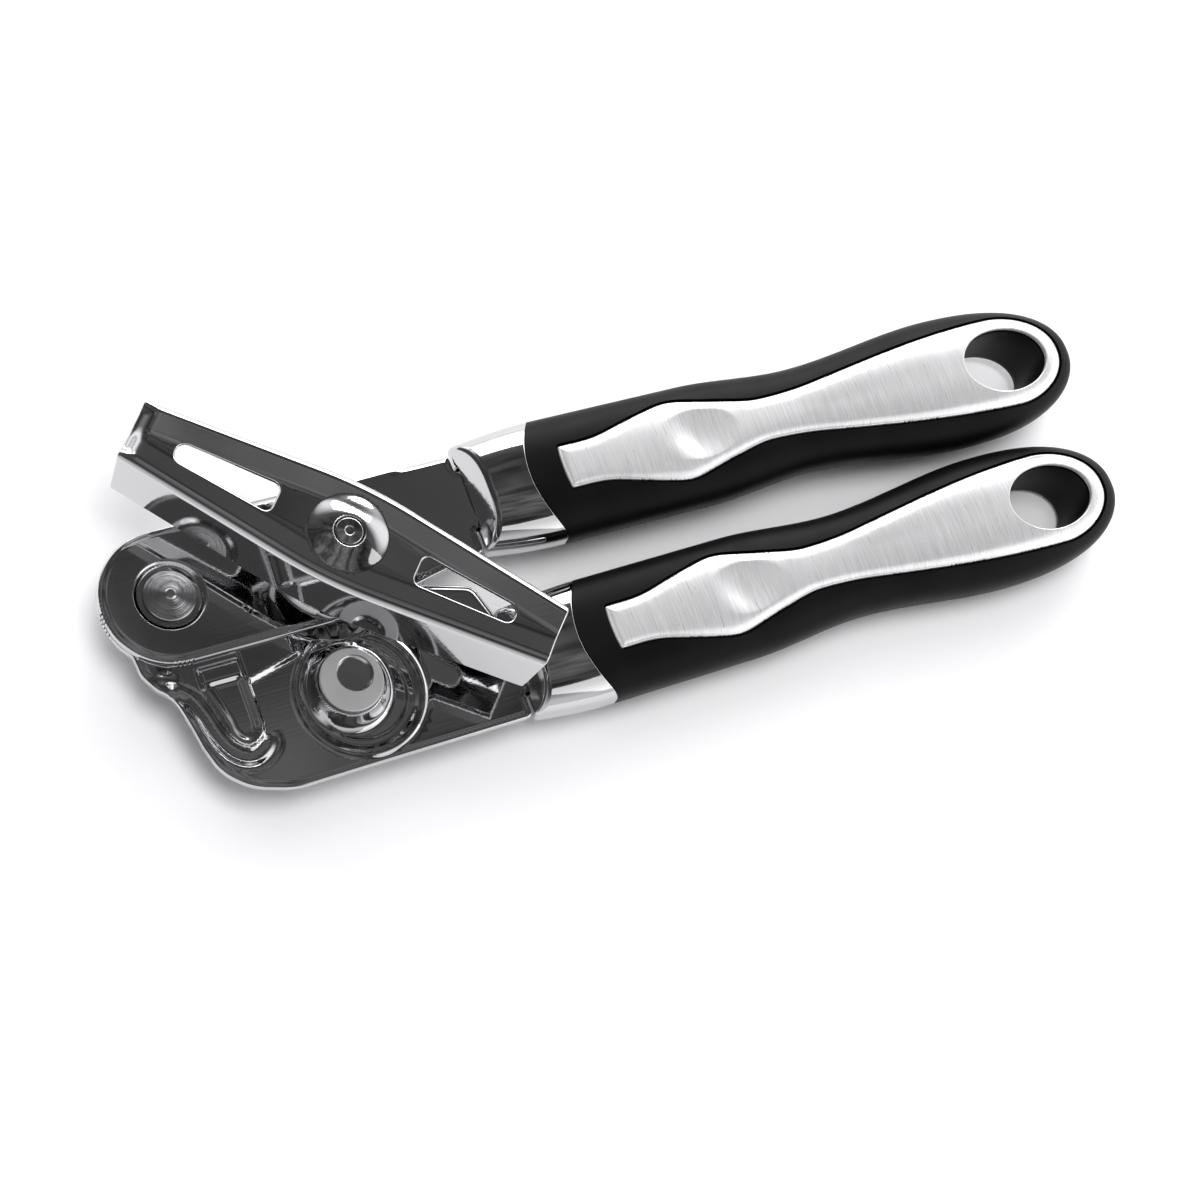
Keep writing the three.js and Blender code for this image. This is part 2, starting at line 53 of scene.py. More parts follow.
HINGE = np.array(JOINTS["handle_hinge"]["pos_m"])


def plan_of(joint):
    """A joint's axis in the plan of the hinge frame, in millimetres."""
    return (np.array(JOINTS[joint]["pos_m"]) - HINGE)[:2] / MM


# ---------------------------------------------------------------- driving dimensions

SHEET = 1.8
GAP = 0.3
NOSE = 12.4
DRIVE_TOP = 0.0
CUTTER_TOP = DRIVE_TOP - SHEET - GAP
CUTTER_UNDER = CUTTER_TOP - SHEET
SHAFT = plan_of("crank_turn")
CUTTER = plan_of("cutter_turn")
BOSS = np.array((25.1, -23.85))
DISH = np.array((27.3, -25.3))
DISH_DEEP = 0.6

TEETH = 16
PITCH = float(np.linalg.norm(SHAFT - CUTTER)) / 2
MODULE = 2 * PITCH / TEETH
GEAR_TOP = CUTTER_UNDER - DISH_DEEP - GAP
GEAR_UNDER = GEAR_TOP - 1.7
FEED_TOP = GEAR_UNDER - GAP
FEED_UNDER = FEED_TOP - 1.3
FEED_RADIUS = 9.4
FEED_TEETH = 40

MIDDLE = -1.95
HANDLE_LENGTH = 135.9
HANDLE_BULGE = 7.8
NUT_UNDER = CUTTER_TOP + MIDDLE - HANDLE_BULGE
HANDLES = {
    "upper": {"at": (58.7, 3.4, DRIVE_TOP), "turn": math.radians(-0.57), "body": "drive_side"},
    "lower": {"at": (56.9, -28.2, CUTTER_TOP), "turn": math.radians(0.57), "body": "cutter_side"},
}
FRONT_LEAN = 0.6
FRONT_LEAN_UNDER = 0.35
HOLE_AT = 118.1
HOLE_HALF = (9.7, 6.6)
INLAY_FRONT = 18.3
INLAY_RING_AT = 100.0
INLAY_RING = (13.4, 9.6)
INLAY_THICK = 1.0
GRIP_ARC = 16.0
GRIP_ARC_AT = 11.2 + GRIP_ARC
TANG_HALF = 6.0
TANG_LENGTH = 72.0
SHOULDER = 0.4
ARM_HALF = 10.3

KEY_HALF = 40.7
KEY_END = 5.8
KEY_MIDDLE = 10.1
KEY_TOP = 17.6
KEY_FACE = 16.8
KEY_SHEET = 1.2
KEY_LOW = 7.8
KEY_SPLAY = 2.0
KEY_ANGLE = math.radians(-42.8)


# ---------------------------------------------------------------- outlines

def right_of(direction):
    return np.array((direction[1], -direction[0]))


def rounded(corners, closed=True, spacing=0.5):
    """Points and outward normals of a polygon given anticlockwise as (x, y, radius) corners."""
    points, normals = [], []
    count = len(corners)
    for i, (x, y, radius) in enumerate(corners):
        here = np.array((x, y), float)
        before = np.array(corners[i - 1][:2], float)
        after = np.array(corners[(i + 1) % count][:2], float)
        if not closed and i in (0, count - 1):
            along = after - here if i == 0 else here - before
            points.append(here)
            normals.append(right_of(along / np.linalg.norm(along)))
            continue
        coming, going = here - before, after - here
        lengths = np.linalg.norm(coming), np.linalg.norm(going)
        coming, going = coming / lengths[0], going / lengths[1]
        turn = math.atan2(coming[0] * going[1] - coming[1] * going[0], coming @ going)
        if abs(turn) < 1e-4:
            points.append(here)
            normals.append(right_of(coming))
            continue
        tangent = math.tan(abs(turn) / 2)
        reach = min(max(radius, 0.02) * tangent, 0.49 * min(lengths))
        radius = reach / tangent
        side = math.copysign(1, turn)
        centre = here - coming * reach - side * radius * right_of(coming)
        steps = max(3, math.ceil(abs(turn) * radius / spacing))
        for k in range(steps + 1):
            angle = turn * k / steps
            cos, sin = math.cos(angle), math.sin(angle)
            normal = np.array(((cos, -sin), (sin, cos))) @ right_of(coming)
            points.append(centre + side * radius * normal)
            normals.append(normal)
    return np.array(points), np.array(normals)


def resampled(loop, spacing):
    """A closed loop of points with its long steps cut up."""
    points = []
    for here, after in zip(loop, np.roll(loop, -1, axis=0)):
        steps = max(1, math.ceil(np.linalg.norm(after - here) / spacing))
        points += [here + (after - here) * k / steps for k in range(steps)]
    return np.array(points)


def outline(corners, spacing):
    return resampled(rounded(corners)[0], spacing)


def circle(centre, radius, count=96):
    return ellipse(centre, radius, radius, count)


def ellipse(centre, a, b, count=96):
    angles = np.linspace(0, 2 * math.pi, count, endpoint=False)
    return np.column_stack((centre[0] + a * np.cos(angles), centre[1] + b * np.sin(angles)))


def arc(centre, radius, start, end, spacing=0.8):
    steps = max(2, math.ceil(abs(end - start) * radius / spacing))
    angles = np.linspace(start, end, steps + 1)
    return [(centre[0] + radius * math.cos(a), centre[1] + radius * math.sin(a), 0) for a in angles]


# ---------------------------------------------------------------- meshes

def inside(points, loop):
    """Which of the points lie inside a closed loop."""
    x, y = points[:, 0, None], points[:, 1, None]
    x0, y0 = loop[:, 0], loop[:, 1]
    x1, y1 = np.roll(x0, -1), np.roll(y0, -1)
    crosses = (y0 > y) != (y1 > y)
    rise = np.where(y1 == y0, 1e-12, y1 - y0)
    return (crosses & (x < (x1 - x0) * (y - y0) / rise + x0)).sum(1) % 2 == 1


def nearest(points, loop):
    """Each point's distance to a closed loop's edges."""
    least = np.full(len(points), np.inf)
    for start, end in zip(loop, np.roll(loop, -1, axis=0)):
        along = end - start
        offset = points - start
        share = np.clip(offset @ along / max(along @ along, 1e-12), 0, 1)
        least = np.minimum(least, np.hypot(*(offset - share[:, None] * along).T))
    return least


def region(loops, inner):
    """Triangles inside the first loop and outside the others, through the inner points."""
    loops = [np.asarray(loop) for loop in loops]
    keep = inside(inner, loops[0])
    for loop in loops:
        keep &= nearest(inner, loop) > 0.12
    for hole in loops[1:]:
        keep &= ~inside(inner, hole)
    points = np.vstack([*loops, inner[keep]])
    edges, first = [], 0
    for loop in loops:
        count = len(loop)
        edges += [(first + i, first + (i + 1) % count) for i in range(count)]
        first += count
    found = delaunay_2d_cdt([Vector(p) for p in points], edges, [], 0, 1e-6)
    points = np.array([tuple(v) for v in found[0]])
    faces = np.array(found[2])
    centres = points[faces].mean(1)
    keep = inside(centres, loops[0])
    for hole in loops[1:]:
        keep &= ~inside(centres, hole)
    return points, faces[keep]


def grid(low, high, spacing, circles=()):
    """A grid of points, with rings of points in place of it about each circle (centre, radii)."""
    xs = np.arange(low[0], high[0] + spacing, spacing)
    ys = np.arange(low[1], high[1] + spacing, spacing)
    points = np.array([(x, y) for x in xs for y in ys])
    for centre, radii in circles:
        far = np.linalg.norm(points - centre, axis=1) > max(radii) + 0.6 * spacing
        rings = [circle(centre, radius, max(16, int(2 * math.pi * radius / 0.62))) for radius in radii]
        points = np.vstack([points[far], *rings])
    return points


def surface(place, flat):
    """Points and normals where place() puts flat points."""
    step = 0.02
    aside, ahead = np.array((step, 0)), np.array((0, step))
    across = place(flat + aside) - place(flat - aside)
    along = place(flat + ahead) - place(flat - ahead)
    normals = np.cross(across, along)
    return place(flat), normals / np.linalg.norm(normals, axis=1)[:, None]


def rims(points, normals, faces):
    """The boundary edges of a surface, and at each boundary point the way out of it."""
    edges = {}
    for face in faces:
        for i, start in enumerate(face):
            edges[(start, face[(i + 1) % len(face)])] = True
    border = [(a, b) for a, b in edges if (b, a) not in edges]
    ways = {}
    for a, b in border:
        way = np.cross(points[b] - points[a], normals[a])
        way /= max(np.linalg.norm(way), 1e-12)
        for end in (a, b):
            ways[end] = ways.get(end, 0) + way
    for end, way in ways.items():
        way = way - (way @ normals[end]) * normals[end]
        ways[end] = way / max(np.linalg.norm(way), 1e-12)
    return border, ways


def thick(points, normals, faces, under, under_normals, rim, steps=4):
    """A closed sheet between a surface and the points under it, with rounded rims."""
    faces = [[int(i) for i in face] for face in faces]
    border, ways = rims(points, normals, faces)
    count = len(points)
    rows = {}
    extra, extra_normals = [], []
    for end, way in ways.items():
        down = under[end] - points[end]
        down /= np.linalg.norm(down)
        row = [end]
        arcs = [math.pi / 2 * k / steps for k in range(1, steps + 1)]
        for angle in arcs:
            row.append(2 * count + len(extra))
            extra.append(points[end] + rim * (math.sin(angle) * way + (1 - math.cos(angle)) * down))
            extra_normals.append(math.cos(angle) * normals[end] + math.sin(angle) * way)
        for angle in reversed(arcs):
            row.append(2 * count + len(extra))
            extra.append(under[end] + rim * (math.sin(angle) * way - (1 - math.cos(angle)) * down))
            extra_normals.append(math.cos(angle) * under_normals[end] + math.sin(angle) * way)
        row.append(count + end)
        rows[end] = row
    sides = []
    for a, b in border:
        for k in range(len(rows[a]) - 1):
            sides.append([rows[b][k], rows[a][k], rows[a][k + 1], rows[b][k + 1]])
    all_points = np.vstack([points, under, np.array(extra).reshape(-1, 3)])
    all_normals = np.vstack([normals, under_normals, np.array(extra_normals).reshape(-1, 3)])
    return all_points, all_normals, faces + [[count + i for i in reversed(f)] for f in faces] + sides


def placed(points, at=(0, 0, 0), turn=0.0):
    """Points turned about Z and moved."""
    cos, sin = math.cos(turn), math.sin(turn)
    spin = np.array(((cos, -sin, 0), (sin, cos, 0), (0, 0, 1)))
    return points @ spin.T + np.array((*at, 0)[:3])


def linked(name, points, faces):
    """A new object in the scene from points and faces."""
    mesh = bpy.data.meshes.new(name)
    mesh.from_pydata([tuple(p) for p in points], [], faces)
    made = bpy.data.objects.new(name, mesh)
    bpy.context.scene.collection.objects.link(made)
    return made


def piece(name, points, faces, material, body, stands_for, normals=None, at=(0, 0, 0), turn=0.0):
    """A Blender object from millimetre points in the hinge frame, riding on its body."""
    made = linked(name, placed(points, at, turn) * MM + HINGE, faces)
    mesh = made.data
    mesh.polygons.foreach_set("use_smooth", [True] * len(mesh.polygons))
    if normals is not None:
        normals = placed(normals, turn=turn)
        normals = normals / np.maximum(np.linalg.norm(normals, axis=1), 1e-9)[:, None]
        mesh.normals_split_custom_set_from_vertices([tuple(n) for n in normals])
    mesh.materials.append(material)
    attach(made, body)
    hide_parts(*stands_for)
    return made


def flat_piece(name, loops, low, high, rim, material, body, node, spacing=2.0):
    """A flat plate with rounded rims between two heights."""
    loops = [inset(loop, rim, -1 if i else 1) for i, loop in enumerate(loops)]
    points, faces = region(loops, grid(loops[0].min(0), loops[0].max(0), spacing))
    top = np.column_stack((points, np.full(len(points), high)))
    under = np.column_stack((points, np.full(len(points), low)))
    up = np.tile((0.0, 0.0, 1.0), (len(points), 1))
    points, normals, faces = thick(top, up, faces, under, -up, rim)
    return piece(name, points, faces, material, body, [node], normals)


def inset(loop, distance, sense=1):
    """A loop moved inward, or outward where sense is -1, for an anticlockwise loop."""
    loop = np.asarray(loop)
    along = np.roll(loop, -1, axis=0) - np.roll(loop, 1, axis=0)
    along /= np.maximum(np.linalg.norm(along, axis=1), 1e-12)[:, None]
    return loop + sense * distance * np.column_stack((-along[:, 1], along[:, 0]))


def turned_piece(name, corners, at, material, body, node, closed=False, sides=96):
    """A piece turned about a vertical axis from (radius, height, fillet) corners."""
    profile, profile_normals = rounded(corners, closed, 0.12)
    angles = np.linspace(0, 2 * math.pi, sides, endpoint=False)
    points, normals, rows = [], [], []
    for (radius, height), (out, up) in zip(profile, profile_normals):
        if radius < 1e-6:
            rows.append([len(points)] * sides)
            points.append((0, 0, height))
            normals.append((0, 0, math.copysign(1, up)))
            continue
        rows.append([len(points) + k for k in range(sides)])
        points += [(radius * math.cos(a), radius * math.sin(a), height) for a in angles]
        normals += [(out * math.cos(a), out * math.sin(a), up) for a in angles]
    faces = []
    for i in range(len(rows) if closed else len(rows) - 1):
        lower, upper = rows[i], rows[(i + 1) % len(rows)]
        for k in range(sides):
            face = [lower[k], lower[(k + 1) % sides], upper[(k + 1) % sides], upper[k]]
            faces.append(list(dict.fromkeys(face)))
    return piece(name, np.array(points, float), faces, material, body, [node],
                 np.array(normals, float), at=at)


def smooth(t):
    t = np.clip(t, 0, 1)
    return t * t * (3 - 2 * t)


def far(points, centre):
    return np.linalg.norm(points - centre, axis=1)


# ---------------------------------------------------------------- materials

def add_node(tree, kind, inputs, **settings):
    """A shader node with its settings; each input is a constant or another node's output."""
    made = tree.nodes.new(f"ShaderNode{kind}")
    for name, value in settings.items():
        setattr(made, name, value)
    for socket, value in inputs.items():
        if isinstance(value, bpy.types.NodeSocket):
            tree.links.new(value, made.inputs[socket])
        else:
            made.inputs[socket].default_value = value
    return made


def ramp(tree, value, stops):
    """Grey levels between (position, level) stops."""
    made = add_node(tree, "ValToRGB", {"Fac": value})
    elements = made.color_ramp.elements
    for element, (position, level) in zip(elements, (stops[0], stops[-1])):
        element.position, element.color = position, (*grey(level), 1)
    for position, level in stops[1:-1]:
        elements.new(position).color = (*grey(level), 1)
    return made.outputs["Color"]


class Finish:
    """A node material under construction."""

    def __init__(self, name, shade, metallic, roughness):
        self.material = bpy.data.materials.new(name)
        self.material.use_nodes = True
        self.tree = self.material.node_tree
        self.shader = self.tree.nodes["Principled BSDF"]
        self.shader.inputs["Base Color"].default_value = (*grey(shade), 1)
        self.shader.inputs["Metallic"].default_value = metallic
        self.shader.inputs["Roughness"].default_value = roughness
        self.place = self.tree.nodes.new("ShaderNodeTexCoord").outputs["Object"]

    def drive(self, socket, value):
        self.tree.links.new(value, self.shader.inputs[socket])

    def radius(self, centre):
        """Distance from an upright axis."""
        away = add_node(self.tree, "VectorMath", {0: self.place, 1: centre}, operation="SUBTRACT")
        across = {0: away.outputs["Vector"], 1: (1, 1, 0)}
        flat = add_node(self.tree, "VectorMath", across, operation="MULTIPLY")
        length = add_node(self.tree, "VectorMath", {0: flat.outputs["Vector"]}, operation="LENGTH")
        return length.outputs["Value"]

    def noise(self, scale, detail=3.0, stretch=(1, 1, 1), rough=0.5):
        mapping = add_node(self.tree, "Mapping", {"Scale": stretch, "Vector": self.place})
        return add_node(self.tree, "TexNoise", {"Vector": mapping.outputs["Vector"], "Scale": scale,
                                                "Detail": detail, "Roughness": rough}).outputs["Fac"]

    def spread(self, value, low, high, start=0.3, end=0.7):
        """A value mapped from start to end onto low to high."""
        return add_node(self.tree, "MapRange", {"Value": value, "From Min": start, "From Max": end,
                                                "To Min": low, "To Max": high}).outputs["Result"]

    def colours(self, value, dark, light):
        self.drive("Base Color", ramp(self.tree, value, [(0.3, dark), (0.7, light)]))

    def bump(self, value, distance):
        under = [link.from_socket for link in self.shader.inputs["Normal"].links]
        made = add_node(self.tree, "Bump", {"Height": value, "Distance": distance, "Strength": 1.0})
        for normal in under:
            self.tree.links.new(normal, made.inputs["Normal"])
        self.drive("Normal", made.outputs["Normal"])


def grey(value):
    return (value, value, value * 1.01)


def chrome_finish():
    finish = Finish("chrome_plate", 0.58, 1.0, 0.05)
    scratches = finish.noise(30, 4, stretch=(4, 90, 90))
    both = add_node(finish.tree, "Math", {0: finish.spread(finish.noise(55, 4), 0.03, 0.07),
                                          1: finish.spread(scratches, 0.0, 0.05, 0.6, 0.75)})
    finish.drive("Roughness", both.outputs["Value"])
    finish.colours(finish.noise(24, 3), 0.55, 0.61)
    finish.bump(finish.noise(140, 2), 0.000006)
    finish.bump(scratches, 0.0000025)
    return finish.material


def turned_finish():
    """Chrome over turning marks that run round the hinge."""
    finish = Finish("turned_chrome", 0.6, 1.0, 0.14)
    marks = add_node(finish.tree, "TexNoise", {"W": finish.radius(HINGE), "Scale": 5200, "Detail": 3},
                     noise_dimensions="1D")
    finish.bump(marks.outputs["Fac"], 0.00007)
    finish.colours(finish.noise(130, 3), 0.56, 0.64)
    finish.drive("Roughness", finish.spread(finish.noise(300, 3), 0.16, 0.24))
    return finish.material


def brushed_finish():
    """Steel brushed across the handle."""
    finish = Finish("brushed_inlay", 0.85, 0.62, 0.3)
    lines = finish.noise(60, 6, stretch=(90, 1.6, 20), rough=0.7)
    finish.colours(lines, 0.66, 1.0)
    finish.drive("Roughness", finish.spread(finish.noise(60, 5, stretch=(60, 2, 10)), 0.27, 0.36))
    finish.bump(lines, 0.0000015)
    finish.shader.inputs["Anisotropic"].default_value = 0.4
    return finish.material


def satin_finish():
    """Satin steel, with a bright conical hollow about the cutter axis."""
    finish = Finish("satin_steel", 0.56, 0.55, 0.4)
    out = finish.radius([float(value) for value in np.array((*CUTTER, 0)) * MM + HINGE])
    mouth = 0.0033, 0.0035
    finish.drive("Metallic", finish.spread(out, 1.0, 0.55, *mouth))
    finish.drive("Roughness", finish.spread(out, 0.16, 0.42, *mouth))
    finish.colours(finish.noise(160, 4), 0.52, 0.60)
    finish.bump(finish.noise(900, 3), 0.000004)
    return finish.material


def plain_finish(name, metallic, mottle, shades, wear, roughness, grain, depth):
    """A finish with noise in its colour (mottle), its roughness (wear) and its surface (grain)."""
    finish = Finish(name, sum(shades) / 2, metallic, sum(roughness) / 2)
    finish.colours(finish.noise(*mottle), *shades)
    finish.drive("Roughness", finish.spread(finish.noise(*wear), *roughness))
    finish.bump(finish.noise(*grain), depth)
    return finish


def gear_finish():
    marks = 120, 4, (1, 1, 14)
    return plain_finish("gear_steel", 1.0, (160, 4), (0.36, 0.58), marks, (0.2, 0.38), marks,
                        0.00002).material


def grip_finish():
    finish = plain_finish("soft_grip", 0.0, (70, 4), (0.002, 0.005), (110, 4), (0.40, 0.48), (2600, 3),
                          0.00001)
    finish.shader.inputs["Specular IOR Level"].default_value = 0.09
    return finish.material


def core_finish():
    return plain_finish("core_plastic", 0.0, (90, 3), (0.018, 0.026), (400, 3), (0.42, 0.6), (1500, 3),
                        0.00002).material


CHROME = chrome_finish()
TURNED = turned_finish()
BRUSHED = brushed_finish()
SATIN = satin_finish()
GEAR = gear_finish()
GRIP = grip_finish()
CORE = core_finish()


# ---------------------------------------------------------------- arms

def on_handle(handle, x, y, radius=0.0):
    cos, sin = math.cos(handle["turn"]), math.sin(handle["turn"])
    return (handle["at"][0] + x * cos - y * sin, handle["at"][1] + x * sin + y * cos, radius)


def tang(handle):
    """The tang's corners from the arm's near shoulder round its tip to the far shoulder."""
    corners = [(-SHOULDER, -ARM_HALF, 1.2), (-SHOULDER, -TANG_HALF, 0.5), (TANG_LENGTH, -TANG_HALF, 5.0),
               (TANG_LENGTH, TANG_HALF, 5.0), (-SHOULDER, TANG_HALF, 0.5)]
    return [on_handle(handle, *corner) for corner in corners]


def tang_holes(handle):
    return [circle(on_handle(handle, x, 0)[:2], 1.8 + GAP, 40) for x in (30, 58)]


def left_of(flat, start, end):
    """Signed distance to the left of a line."""
    start, end = np.array(start), np.array(end)
    way = (end - start) / np.linalg.norm(end - start)
    return (flat - start) @ np.array((-way[1], way[0]))


EDGE_FALL = 0.25
EDGE_WIDTH = 1.1


def arm(name, edge, holes, height, top, inner, body, rim=0.55, hole_rim=0.3):
    """A pressed steel arm: a flat outline with holes, an upper face that follows a height, soft edges."""
    loops = [inset(edge, rim)] + [inset(hole, hole_rim, -1) for hole in holes]
    points, faces = region(loops, inner)

    def upper(flat):
        fall = EDGE_FALL * np.clip(1 - nearest(flat, loops[0]) / EDGE_WIDTH, 0, 1) ** 2
        return np.column_stack((flat, top + height(flat) - fall))

    above, normals = surface(upper, points)
    under = above - np.array((0, 0, SHEET))
    under[:, 2] = np.maximum(under[:, 2], top - SHEET - DISH_DEEP)
    made = thick(above, normals, faces, under, -normals, rim)
    return piece(name, made[0], made[2], CHROME, body, [name.replace("_sheet", "")],
                 made[1])


WELL = 6.1
WELL_DEEP = 0.9
DRUM = 8.9
DRUM_TOP = 3.5
LIP = {"start": 19.6, "end": 38.4, "out": 1.8, "fall": 1.55}


def drive_height(flat):
    """Well round the hinge rivet, drum round the shaft, and the lip along the far edge."""
    from_hinge, from_shaft = far(flat, np.zeros(2)), far(flat, SHAFT)
    well = -WELL_DEEP * smooth((WELL + 0.5 - from_hinge) / 1.15)
    foot = 0.75 * smooth((DRUM + 1.1 - from_shaft) / 1.3) ** 1.6
    wall = (DRUM_TOP - 0.75) * smooth((DRUM + 0.05 - from_shaft) / 1.35) ** 0.8
    lip = -LIP["fall"] * np.maximum(flat[:, 1] - NOSE + 0.35, 0) ** 1.35
    return well + foot + wall + lip


def drive_arm():
    corners = arc((0, 0), NOSE, math.pi / 2, 1.5 * math.pi)
    corners += [(29, -NOSE, 14)]
    corners += tang(HANDLES["upper"])
    out = NOSE + LIP["out"]
    corners += [(HANDLES["upper"]["at"][0] - SHOULDER, 12.8, 1.2), (LIP["end"] + 0.5, NOSE + 0.05, 0.5),
                (LIP["end"], out, 0.7), (LIP["start"], out, 1.4), (LIP["start"] - 0.9, NOSE, 0.6)]
    edge = outline(corners, 0.5)
    rows = np.vstack([inset(edge, d)[::2] for d in (0.9, 1.25, 1.65)])
    rows = rows[(rows[:, 1] < NOSE - 1.2) | (rows[:, 0] < 0)]
    wall_rings = np.concatenate((np.arange(5.9, 7.4, 0.5), np.arange(7.4, 10.6, 0.14), (11.0, 11.6)))
    well_rings = np.concatenate((np.arange(3.6, 5.4, 0.6), np.arange(5.5, 6.9, 0.12), (7.3, 8.0)))
    inner = grid((-13, -13), (131, 15), 1.3, [(SHAFT, wall_rings), (np.zeros(2), well_rings)])
    lip_rows = [(x, y) for x in np.arange(LIP["start"], LIP["end"], 0.9)
                for y in np.arange(NOSE - 0.6, out - 0.5, 0.16)]
    holes = [circle((0, 0), 3.2), circle(SHAFT, 5.3)] + tang_holes(HANDLES["upper"])
    return arm("drive_arm_sheet", edge, holes, drive_height, DRIVE_TOP,
               np.vstack([inner[nearest(inner, edge) > 2.2], lip_rows, rows]), "drive_side")


BOSS_RISE = 3.3
BOSS_RADIUS = 6.1
FLARE = 3.1
TROUGH = [(-5.6, -17.6), (-4.6, -17.9), (-3.1, -19.3), (-2.1, -21.6), (-1.2, -25.0), (-0.1, -28.2),
          (1.4, -30.5), (3.3, -31.9), (5.5, -32.3), (7.7, -31.5), (9.3, -29.9), (9.5, -27.9)]
TONGUE = [(0.6, -17.6), (1.4, -20.5), (2.2, -24.0), (2.5, -26.4), (3.6, -28.3), (5.5, -29.2),
          (7.5, -28.4), (8.5, -26.4), (8.6, -22.2), (8.6, -17.6)]


def flowing(points, count=14):
    """Points of a smooth curve through the given ones."""
    points = np.array(points)
    padded = np.vstack([2 * points[0] - points[1], points, 2 * points[-1] - points[-2]])
    shares = np.linspace(0, 1, count, endpoint=False)[:, None]
    spans = []
    for a, b, c, d in zip(padded, padded[1:], padded[2:], padded[3:]):
        spans.append(0.5 * (2 * b + (c - a) * shares + (2 * a - 5 * b + 4 * c - d) * shares ** 2
                            + (3 * b - a - 3 * c + d) * shares ** 3))
    return np.vstack([*spans, points[-1:]])


def beside(flat, curve):
    """Signed distance to the left of an open curve, and the share of the way along it."""
    start, along = curve[:-1], np.diff(curve, axis=0)
    length = np.maximum(np.linalg.norm(along, axis=1), 1e-9)
    offset = flat[:, None] - start
    share = np.clip((offset * along).sum(2) / length ** 2, 0, 1)
    gaps = offset - share[..., None] * along
    distance = np.linalg.norm(gaps, axis=2)
    best = distance.argmin(1)
    rows = np.arange(len(flat))
    turn = along[best, 0] * offset[rows, best, 1] - along[best, 1] * offset[rows, best, 0]
    way = (best + share[rows, best]) / len(along)
    return np.where(turn > 0, 1, -1) * distance[rows, best], way


LIFT_TROUGH = flowing(TROUGH)
LIFT_TONGUE = flowing(TONGUE)


def cutter_height(flat):
    """Dish and boss round the cutter axle, and the pressed cap lifter."""
    x, y = flat[:, 0], flat[:, 1]
    from_dish, from_boss = far(flat, DISH), far(flat, BOSS)
    dish = -DISH_DEEP * smooth((10.95 - from_dish) / 1.3) - 0.25 * smooth((8.95 - from_dish) / 0.8)
    dish += 0.32 * np.exp(-((from_dish - 11.6) / 0.5) ** 2)
    flare = (BOSS_RISE + 0.85) * np.clip((BOSS_RADIUS + FLARE - from_boss) / FLARE, 0, 1) ** 2.3
    side, way = beside(flat, LIFT_TROUGH)
    ends = smooth(way / 0.05) * smooth((1 - way) / 0.06)
    trough = -0.62 * smooth((side + 0.8) / 1.6) * smooth((3.4 - side) / 1.6) * ends
    bead = 0.12 * np.exp(-((side + 1.05) / 0.5) ** 2) * ends
    edge = beside(flat, LIFT_TONGUE)[0]
    lifted = smooth((edge + 0.35) / 0.7) * smooth((-16.4 - y) / 1.6)
    trough *= 1 - lifted
    tongue = lifted * (0.6 - 0.45 * smooth(edge / 2.1))
    bar = 0.85 * smooth((x - 0.1) / 0.9) * smooth((8.3 - x) / 0.6)
    bar *= smooth((-13.2 - y) / 1.5) * smooth((y + 17.9) / 1.7)
    pad = left_of(flat, (8.4, -18.4), (19.0, -15.9))
    fold = 0.7 * smooth((pad + 0.5) / 1.1) * smooth((x - 8.3) / 0.5) * smooth((20.5 - x) / 3.0)
    fold *= smooth((from_dish - 10.9) / 1.5)
    hump = 0.55 * smooth(1 - np.hypot((x + 5.6) / 3.6, (y + 14.2) / 2.3))
    return dish + flare + trough + bead + tongue + bar + fold + hump


def cutter_arm():
    lower = HANDLES["lower"]
    clearance = 12.7
    corners = [(-9.1, -8.4, 3), (-8.8, -11.8, 4), (-7.2, -15.4, 2.5), (-4.6, -17.4, 2), (-3.9, -20.5, 12),
               (-2.7, -27.3, 12), (-1.0, -32.4, 9), (3.2, -36.4, 12), (10.5, -38.7, 14), (24, -38.6, 60)]
    corners += tang(lower)
    corners += [on_handle(lower, -SHOULDER, ARM_HALF, 1.2), (54.5, -12, 3), (46, -9.5, 3)]
    corners += arc(SHAFT, clearance, math.radians(-30), math.radians(-150))
    corners += [(12.0, 3.0, 0.5)]
    corners += arc((0, 0), NOSE - 0.1, math.atan2(3, 12), math.pi + math.atan2(8.4, 9.1) - 0.05)
    edge = outline(corners, 0.5)
    rows = np.vstack([inset(edge, d)[::2] for d in (0.85, 1.2, 1.6, 2.0)])
    coarse = grid((-14, -41), (131, 14), 1.3)
    fine = grid((-9, -35), (21, -12.6), 0.33)
    rings = [circle(DISH, r, int(2 * math.pi * r / 0.55)) for r in np.arange(8.1, 12.6, 0.17)]
    bosses = [circle(BOSS, r, int(2 * math.pi * r / 0.5)) for r in np.arange(4.1, 9.4, 0.19)]
    rings, bosses = np.vstack(rings), np.vstack(bosses)
    rings = rings[far(rings, BOSS) > BOSS_RADIUS + FLARE]
    bosses = bosses[far(bosses, DISH) < 12.6]
    fine = fine[far(fine, SHAFT) > clearance + 0.8]
    outside = (far(coarse, DISH) > 12.9) & ((coarse[:, 0] < -9.3) | (coarse[:, 0] > 21.3)
                                            | (coarse[:, 1] < -35.3) | (coarse[:, 1] > -12.4))
    field = np.vstack([coarse[outside], fine[far(fine, DISH) > 12.8]])
    inner = np.vstack([field[nearest(field, edge) > 2.2], rows[far(rows, DISH) > 12.8], rings, bosses])
    holes = [circle(CUTTER, 3.6), circle((0, 0), 3.2, 64)] + tang_holes(lower)
    return arm("cutter_arm_sheet", edge, holes, cutter_height, CUTTER_TOP, inner, "cutter_side", rim=0.5)


# ---------------------------------------------------------------- crank key

